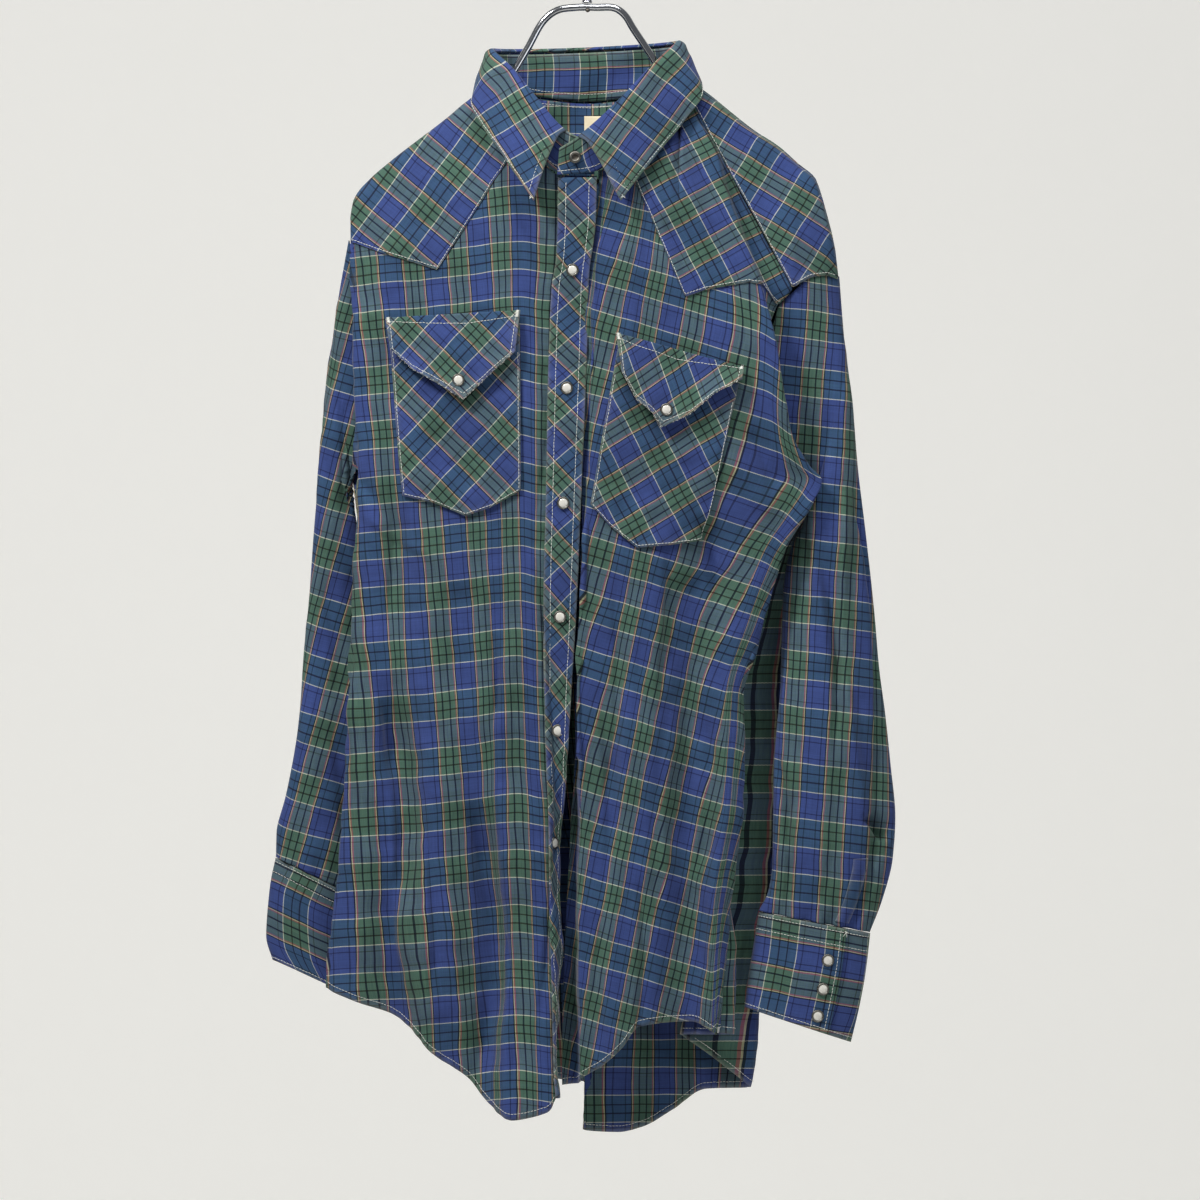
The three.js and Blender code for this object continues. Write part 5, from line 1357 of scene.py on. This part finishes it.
class Stitching:
    def __init__(self, name):
        self.name = name
        self.centres, self.alongs, self.ups, self.lengths, self.radii = [], [], [], [], []

    def put(self, centre, direction, up, length, radius):
        count = len(centre)
        self.centres.append(centre)
        self.alongs.append(direction)
        self.ups.append(up)
        self.lengths.append(np.full(count, length) if np.isscalar(length) else length)
        self.radii.append(np.full(count, radius) if np.isscalar(radius) else radius)

    def seam(self, points, normals, pitch=2.7, length=2.6, radius=0.22, lift=0.12):
        centre, direction, up = spaced(points, normals, pitch)
        rng = np.random.default_rng(len(self.centres) + len(centre))
        stray = unit(np.cross(up, direction)) * rng.normal(0, 0.08, (len(centre), 1))
        size = length * rng.uniform(0.86, 1.08, len(centre))
        self.put(centre + up * lift + stray, direction, up, size, radius)

    def tuft(self, place, count, length, radius, seed):
        """A few loose threads about one place, towards the viewer."""
        rng = np.random.default_rng(seed)
        direction = unit(rng.normal(0, 1, (count, 3)) * [1, 0.35, 1])
        centre = place + direction * length * 0.3 + [0, -0.5, 0]
        self.put(centre, direction, np.tile([0.0, -1.0, 0.01], (count, 1)), length, radius)

    def fray(self, points, normals, count, seed, length=1.7, radius=0.13):
        """Short worn ends standing off an edge."""
        rng = np.random.default_rng(seed)
        pick = rng.integers(0, len(points), count)
        centre = points[pick] + rng.normal(0, 0.35, (count, 3))
        direction = unit(rng.normal(0, 1, (count, 3)))
        size = length * rng.uniform(0.5, 1.2, count)
        self.put(centre, direction, normals[pick] + [0, 0, 0.01], size, radius)

    def build(self):
        centre, direction, up = (np.concatenate(part) for part in (self.centres, self.alongs, self.ups))
        length, radius = np.concatenate(self.lengths), np.concatenate(self.radii)
        side = unit(np.cross(up, direction))
        up = np.cross(direction, side)
        bm = bmesh.new()
        bmesh.ops.create_uvsphere(bm, u_segments=6, v_segments=4, radius=1)
        shape = np.array([v.co[:] for v in bm.verts])
        template = bpy.data.meshes.new("thread_shape")
        bm.to_mesh(template)
        for _ in range(len(centre) - 1):
            bm.from_mesh(template)
        mesh = bpy.data.meshes.new(self.name)
        bm.to_mesh(mesh)
        bm.free()
        bpy.data.meshes.remove(template)
        points = (centre[:, None, :]
                  + direction[:, None, :] * (shape[None, :, 2] * length[:, None] / 2)[..., None]
                  + side[:, None, :] * (shape[None, :, 0] * radius[:, None])[..., None]
                  + up[:, None, :] * (shape[None, :, 1] * radius[:, None] * 0.8)[..., None])
        mesh.vertices.foreach_set("co", millimetres(points.reshape(-1, 3)).ravel())
        mesh.update()
        return placed(self.name, mesh, THREAD)


def panel_line(panel, across, z, out):
    across, z = np.asarray(across, float), np.asarray(z, float)
    return panel.point(across, z, out), panel.normal(across, z)


def grid_line(points, s, t):
    """A line over any surface of shares, with its normals."""
    s, t = np.broadcast_arrays(np.asarray(s, float), np.asarray(t, float))
    u = points(np.clip(s + 0.01, 0, 1), t) - points(np.clip(s - 0.01, 0, 1), t)
    w = points(s, np.clip(t + 0.01, 0, 1)) - points(s, np.clip(t - 0.01, 0, 1))
    return points(s, t), unit(np.cross(u, w))


def forward(line_of):
    """The same line with every normal turned to face the viewer."""
    points, normals = line_of
    return points, np.where(normals[:, 1:2] > 0, -normals, normals)


def stitch_body():
    st = Stitching("body_stitching")
    top = THIN / 2
    run = np.linspace(0, 1, 240)
    # Hems
    for panel, hem, stop in ((right_front, hem_right, 178), (left_front, hem_left, 186),
                             (back, hem_back, 378)):
        across = stop * run
        st.seam(*panel_line(panel, across, hem(across) + HEM_UP, top + PANEL_OUT))
        points, normals = panel_line(panel, across, hem(across) + HEM_UP, -top + PANEL_OUT)
        st.seam(points, -normals)
    # Front placket, two rows
    z = PLACKET_TOP - 4 + (PLACKET_HEM - PLACKET_TOP + 8) * run
    for c in (0.2, 0.8):
        points = placket_point(np.full_like(z, c), z, TURNED / 2)
        normals = right_front.normal(np.full_like(z, PLACKET_LEFT + 27 * c), z)
        st.seam(points, normals, radius=TOP_THREAD)
    # Yoke edges: one row just inside each
    across = 1 + 151 * run
    z = right_front.crossing(yoke_edge_right, across) + 2.2
    st.seam(*panel_line(right_front, across, z, YOKE_OUT + top), radius=TOP_THREAD)
    across = 51 + 134 * run
    z = left_front.crossing(yoke_edge_left, across) + 2.2
    st.seam(*panel_line(left_front, across, z, YOKE_OUT + top), radius=TOP_THREAD)
    across = 2 + 374 * run
    z = back.crossing(yoke_edge_back, across) + 2.2
    st.seam(*panel_line(back, across, z, YOKE_OUT + top), radius=TOP_THREAD)
    # Shoulder seam: the back yoke's own edge
    x = 199 + (80 - 199) * run
    ridge, _, _, reach = yoke_ridge(x)
    share = np.minimum(2.4 / np.maximum(reach, 3), 0.5)
    points = yoke_front_point(x, share, YOKE_OUT + top)
    st.seam(points, np.tile([0.0, -1.0, 0.15], (len(run), 1)), radius=TOP_THREAD)
    x = -84 + (-186 + 84) * run
    across = back.width_at(x, top_back(x)[0] - 0.2)
    st.seam(*panel_line(back, across, top_back(x)[0] - 3, YOKE_OUT + top))
    # Pockets and flaps
    for spec in POCKETS:
        inset = 1.8
        share = inset / 106
        z = np.linspace(0.16, 1 - share * 1.1, 90)
        flat = np.linspace(share, 1 - share, 90)
        pocket = lambda a, b: pocket_point(spec, a, b, top)
        for s, t in ((np.full(90, share), z), (flat, np.full(90, 1 - inset / 140)),
                     (np.full(90, 1 - share), z)):
            st.seam(*forward(grid_line(pocket, s, t)), radius=INNER_THREAD)
        flat, down = np.linspace(0.02, 0.98, 80), np.linspace(0.08, 0.93, 50)
        edge = lambda a, b: flap_point(spec, a, b, TURNED / 2)
        for s, t in ((flat, np.full(80, 0.12)), (flat, np.full(80, 0.93)), (np.full(50, 0.03), down),
                     (np.full(50, 0.97), down)):
            st.seam(*forward(grid_line(edge, s, t)), radius=TOP_THREAD)
        lower = np.linspace(0.01, 0.99, 200)
        st.fray(*forward(grid_line(edge, lower, np.full(200, 0.995))), 170, 3)
        for corner in (0.02, 0.98):
            place = edge(np.array([corner]), np.array([0.05]))[0]
            st.tuft(place, 4, 3.2, 0.15, 11)
        # Bar tacks at the corners of the pocket's mouth
        for corner in (0.02, 0.98):
            s = np.full(9, corner)
            t = np.linspace(0.0, 0.14, 9)
            points, normals = forward(grid_line(edge, s, t))
            side = np.tile([1.0, 0.0, 0.0], (9, 1))
            st.put(points + normals * 0.2, side, normals, 2.6, 0.36)
    # Bar tack where the side hem ends
    tack = left_front.width_at(np.array([104.8]), np.array([-881.6]))
    points, normals = panel_line(left_front, np.repeat(tack, 6), -881.6 + np.linspace(-2, 2, 6), top)
    st.put(points, np.tile([1.0, 0.0, 0.0], (6, 1)), normals, 3.4, 0.34)
    # Seam inside the back of the neck
    x = 34 + (-40 - 34) * run
    across = back.width_at(x, top_back(x)[0] - 4)
    points, normals = panel_line(back, across, top_back(x)[0] - 4, -1.9)
    st.seam(points, -normals, radius=INNER_THREAD)
    st.build()


def limb_line(limb, s, t, out):
    s, t = np.broadcast_arrays(np.asarray(s, float), np.asarray(t, float))
    return limb.point(s, t, out), limb.normal(s, t)


def stitch_sleeves():
    st = Stitching("sleeve_stitching")
    run = np.linspace(0, 1, 160)
    for limb in (right_cuff, left_cuff):
        for t in (0.035, 0.16, 0.955):
            out = TURNED / 2 + 0.05 + (overlap(run) if limb is left_cuff else 0)
            st.seam(*limb_line(limb, run, np.full_like(run, t), out), radius=TOP_THREAD)
    down = np.linspace(0.02, 0.97, 60)
    beside = np.full_like(down, OVERLAP_EDGE + 0.018)
    st.seam(*limb_line(left_cuff, beside, down, TURNED / 2 + OVERLAP_OUT), radius=TOP_THREAD)
    # Loose threads where the slit meets the cuff
    st.tuft(left_cuff.point(np.array([OVERLAP_EDGE]), np.array([0.03]), TURNED / 2 + 2)[0], 5, 6.0, 0.24, 7)
    st.build()


def stitch_collar():
    st = Stitching("collar_stitching")
    run = np.linspace(0.012, 0.988, 260)
    leaf = lambda s, t: leaf_point(s, t, TURNED / 2 + 0.05)

    def seam(s, t):
        points, normals = grid_line(leaf, s, t)
        away = points - np.array([0, 0, -150])
        away[:, 2] = 0
        normals = np.where(np.sum(normals * away, axis=1)[:, None] < 0, -normals, normals)
        st.seam(points, normals, radius=TOP_THREAD)
    seam(run, np.full_like(run, 0.955))
    ends = np.linspace(0.3, 0.955, 60)
    seam(np.full_like(ends, 0.012), ends)
    seam(np.full_like(ends, 0.988), ends)
    for end in (0.004, 0.996):
        tip = leaf(np.array([end]), np.array([0.985]))[0]
        st.tuft(tip, 6, 3.0, 0.25, 5)
    inside = np.linspace(0.0, 1.0, 260)
    points, normals = grid_line(stand_point, inside, np.full_like(inside, 0.86))
    outward = np.sum(normals * points * [1, 1, 0], axis=1)[:, None] > 0
    inward = np.where(outward, -normals, normals)
    st.seam(points + inward * TURNED / 2, inward, radius=INNER_THREAD)
    st.seam(points - inward * TURNED / 2, -inward, radius=INNER_THREAD)
    st.build()


# Snaps
def lathe(bm, profile, steps, place, direction):
    """Spins a profile of radius and height about an axis through a place."""
    axis = Vector(direction).normalized()
    turn = axis.to_track_quat("Z", "Y")
    verts = [bm.verts.new((r, 0, h)) for r, h in profile]
    edges = [bm.edges.new(pair) for pair in zip(verts, verts[1:])]
    bmesh.ops.spin(bm, geom=verts + edges, cent=(0, 0, 0), axis=(0, 0, 1), dvec=(0, 0, 0),
                   angle=2 * math.pi, steps=steps, use_merge=True)
    fresh = {v for v in bm.verts if v.tag is False}
    for v in fresh:
        v.co = turn @ v.co + Vector(place)
        v.tag = True


CAP = [(0, 1.35), (1.4, 1.3), (2.5, 1.1), (3.3, 0.8), (3.75, 0.4)]
CAP_RIM = [(3.5, 0.3), (3.8, 0.95), (4.4, 1.25), (4.95, 0.95), (5.1, 0.3), (5.0, 0.0), (4.4, -0.35),
           (0, -0.35)]
NECK_RING = [(2.1, 0.5), (2.4, 1.2), (3.1, 1.6), (4.0, 1.6), (4.7, 1.1), (5.0, 0.3), (4.6, -0.3), (0, -0.3)]
NECK_HOLE = [(0, 0.2), (1.2, 0.25), (2.15, 0.5)]


def turned_piece(name, profiles, material, places, nodes):
    bm = bmesh.new()
    for place, direction in places:
        for profile in profiles:
            lathe(bm, profile, 28, place, direction)
    bmesh.ops.remove_doubles(bm, verts=bm.verts, dist=0.005)
    bmesh.ops.recalc_face_normals(bm, faces=bm.faces)
    bmesh.ops.scale(bm, vec=(0.001, 0.001, 0.001), verts=bm.verts)
    mesh = bpy.data.meshes.new(name)
    bm.to_mesh(mesh)
    bm.free()
    return placed(name, mesh, material, nodes)


FRONT_SNAPS = [-273.6, -368, -460, -551, -642, -732]  # z
CUFF_SNAPS = [0.31, 0.58, 0.85]  # shares down the cuff


def snap_places():
    """Place and direction of every pearl cap, by the node it stands for."""
    found = {}
    middle = np.array([191.5])
    for i, z in enumerate(FRONT_SNAPS):
        place = placket_point(np.array([0.5]), np.array([float(z)]), TURNED / 2 + 0.45)[0]
        found["front_snap_%d" % (i + 1)] = (place, right_front.normal(middle, np.array([float(z)]))[0])
    for spec in POCKETS:
        x, z, lift = spec["snap"]
        panel = spec["panel"]
        across = panel.width_at(np.array([float(x)]), np.array([float(z)]))
        n = panel.normal(across, np.array([float(z)]))[0]
        place = panel.point(across, np.array([float(z)]), FLAP_OUT + TURNED / 2 + lift + 0.5)[0]
        found[spec["side"] + "_flap_snap"] = (place, n)
    for side, limb, s in (("left", left_cuff, 0.7), ("right", right_cuff, 12.5 / 16 + 0.5)):
        for i, t in enumerate(CUFF_SNAPS):
            s1, t1 = np.array([s % 1.0]), np.array([t])
            lift = TURNED / 2 + 0.5 + (1.6 if side == "left" else 0)
            found["%s_cuff_snap_%d" % (side, i + 1)] = (limb.point(s1, t1, lift)[0], limb.normal(s1, t1)[0])
    return found


def snaps():
    found = snap_places()
    places = list(found.values())
    turned_piece("pearl_caps", [CAP], PEARL, places, list(found))
    turned_piece("snap_rims", [CAP_RIM], RIM, places, [])
    neck = [((-9.5, -51.2, -184), (0, -1, 0.1))]
    turned_piece("neck_snap_ring", [NECK_RING], RIM, neck, ["neck_snap"])
    turned_piece("neck_snap_socket", [NECK_HOLE], RIVET, neck, [])


# The bound slit above each cuff
def sleeve_slits():
    for side, limb, start in (("left", left_sleeve, 0.651), ("right", right_sleeve, 0.38)):
        length = 50 if side == "right" else 66

        def points(s, t):
            return limb.point(start + 0.045 * s, 0.832 + 0.155 * t, 1.1)
        mesh = grid_piece(side + "_slit_binding", 16, 60, points,
                          lambda s, t, p: left_sleeve_cloth(p[:, 0], p[:, 2]), near_edges(8, 80, 1.0, "lrt"))
        piece = placed(side + "_slit_binding", mesh, PLAID, [side + "_sleeve_placket"], THIN)
        hung(piece, 10, length, 0.95, [side + "_sleeve_cloth"])


# Hanger
def smooth_path(points, steps):
    """Points along a centripetal Catmull-Rom curve."""
    points = np.array(points, float)
    points = np.vstack([2 * points[0] - points[1], points, 2 * points[-1] - points[-2]])
    knots = np.concatenate([[0], np.cumsum(np.linalg.norm(np.diff(points, axis=0), axis=1) ** 0.5)])
    out = []
    for i in range(1, len(points) - 2):
        k = knots[i - 1:i + 3]
        for t in np.linspace(k[1], k[2], steps, endpoint=False):
            a = [((k[j + 1] - t) * points[i - 1 + j] + (t - k[j]) * points[i + j]) / (k[j + 1] - k[j])
                 for j in range(3)]
            b = [((k[j + 2] - t) * a[j] + (t - k[j]) * a[j + 1]) / (k[j + 2] - k[j]) for j in range(2)]
            out.append(((k[2] - t) * b[0] + (t - k[1]) * b[1]) / (k[2] - k[1]))
    return np.array([*out, points[-2]])


def tube(name, points, radius, material, nodes):
    curve = bpy.data.curves.new(name, "CURVE")
    curve.dimensions = "3D"
    curve.bevel_depth = radius / 1000
    curve.bevel_resolution = 5
    curve.use_fill_caps = True
    spline = curve.splines.new("POLY")
    spline.points.add(len(points) - 1)
    for knot, p in zip(spline.points, points):
        knot.co = (*(p / 1000), 1)
    source = bpy.data.objects.new(name + "_path", curve)
    bpy.context.scene.collection.objects.link(source)
    mesh = bpy.data.meshes.new_from_object(source)
    bpy.data.objects.remove(source)
    mesh.name = name
    return placed(name, mesh, material, nodes)


# The bar's middle line. Columns: x, z.
BAR = [
    [-174, -211], [-150, -189], [-123, -168], [-97, -147.5], [-78, -134], [-62, -118], [-48, -95.5],
    [-35, -73], [-24, -64.5], [-8, -62.1], [8, -62.1], [22, -62.6], [30, -68], [37, -79], [50, -98.5],
    [61.5, -116.5], [77, -133], [96, -145.5], [133, -172.5], [162, -193.5], [174, -204],
]


HOOK_BEND = 19  # radius of the hook's bend
HOOK_MIDDLE = -17  # z of its centre
WIRE = 1.95  # radius
BAR_TUBE = 3.0  # radius


def hanger():
    tube("chrome_bar", smooth_path([[x, 0, z] for x, z in BAR], 8), BAR_TUBE, CHROME, ["hanger_bar"])
    dome = [(0, 1.1), (0.9, 0.95), (1.6, 0.5), (1.8, 0.0), (1.6, -0.6)]
    turned_piece("bar_rivet", [dome], RIVET, [((0.5, -3.0, -64.5), (0, -1, 0.3))], [])
    bands = [(0, 0), (4.0, 0), (4.2, 0.3), (4.2, 1.2), (3.9, 1.5), (3.9, 2.4), (4.2, 2.7),
             (4.1, 4.0), (3.3, 5.6), (2.6, 6.0), (0, 6.0)]
    turned_piece("hook_collar", [bands], CHROME, [((0, 0, -58.6), (0, 0, 1))], ["hook_ferrule"])
    angles = [math.radians(a) for a in range(-50, 201, 10)]
    arc = [[HOOK_BEND * math.cos(a), 0, HOOK_MIDDLE + HOOK_BEND * math.sin(a)] for a in angles]
    stem = [[0, 0, -52.2], [0, 0, -45], [3.5, 0, -38.5]]
    tube("wire_hook", smooth_path([*stem, *arc], 5), WIRE, CHROME, ["hook"])


# Floor, light and camera
def plain_material(name, colour, roughness):
    m = Shader(name)
    place = m.add("ShaderNodeTexCoord").outputs["Object"]
    cloud = m.noise(place, 2.0, 3.0)
    m.join(m.surface.inputs["Base Color"], m.mix(cloud, srgb(*colour), srgb(*[c * 0.985 for c in colour])))
    m.surface.inputs["Roughness"].default_value = roughness
    return m.material


def studio():
    pale = plain_material("pale_studio", (243, 242, 238), 0.9)
    surface = pale.node_tree.nodes["Principled BSDF"]
    surface.inputs["Emission Color"].default_value = (1, 1, 0.98, 1)
    surface.inputs["Emission Strength"].default_value = 0.17
    for name, height, width, place, tilt in (("floor", 7.0, 8.0, (0, 0.2, -1.9), 0.0),
                                             ("backdrop", 6.0, 8.0, (0, 2.5, 0.0), math.pi / 2)):
        bm = bmesh.new()
        bmesh.ops.create_grid(bm, x_segments=2, y_segments=2, size=1.0)
        bmesh.ops.scale(bm, vec=(width / 2, height / 2, 1), verts=bm.verts)
        bmesh.ops.rotate(bm, cent=(0, 0, 0), verts=bm.verts, matrix=Matrix.Rotation(tilt, 3, "X"))
        bmesh.ops.translate(bm, vec=place, verts=bm.verts)
        mesh = bpy.data.meshes.new(name)
        bm.to_mesh(mesh)
        bm.free()
        obj = bpy.data.objects.new(name, mesh)
        mesh.materials.append(pale)
        bpy.context.scene.collection.objects.link(obj)
    world = bpy.data.worlds.new("studio_world")
    world.use_nodes = True
    world.node_tree.nodes["Background"].inputs[0].default_value = (0.9, 0.94, 1.0, 1)
    world.node_tree.nodes["Background"].inputs[1].default_value = 0.14
    bpy.context.scene.world = world
    for name, place, power, size, colour in (
            ("key_light", (-1.3, -1.4, 1.45), 66, 0.5, (1.0, 0.98, 0.95)),
            ("fill_light", (1.2, -1.4, -0.4), 5, 1.0, (0.94, 0.97, 1.0)),
            ("top_light", (0.2, -0.9, 1.3), 22, 0.9, (1.0, 1.0, 1.0))):
        data = bpy.data.lights.new(name, "AREA")
        data.energy, data.size, data.color = power, size, colour
        lamp = bpy.data.objects.new(name, data)
        lamp.location = place
        aim = Vector((0, 0, -0.5)) - Vector(place)
        lamp.rotation_euler = aim.to_track_quat("-Z", "Y").to_euler()
        bpy.context.scene.collection.objects.link(lamp)


CAMERA_AWAY = 10
VIEW_WIDTH = 0.96  # metres across the picture at the shirt's front
SHIRT_PLANE = -0.03


def camera():
    data = bpy.data.cameras.new("camera")
    data.sensor_width = 36
    data.lens = 36 * (CAMERA_AWAY + SHIRT_PLANE) / VIEW_WIDTH
    eye = bpy.data.objects.new("camera", data)
    eye.location = (0.0104, -CAMERA_AWAY, -0.5376)
    eye.rotation_euler = (math.pi / 2, 0, 0)
    bpy.context.scene.collection.objects.link(eye)
    bpy.context.scene.camera = eye
    bpy.context.scene.view_settings.view_transform = "Standard"


camera()
studio()
body()
front_yokes()
back_yoke()
sleeves()
collar()
front_placket()
pockets()
neck_label()
stitch_body()
stitch_sleeves()
stitch_collar()
snaps()
sleeve_slits()
hanger()
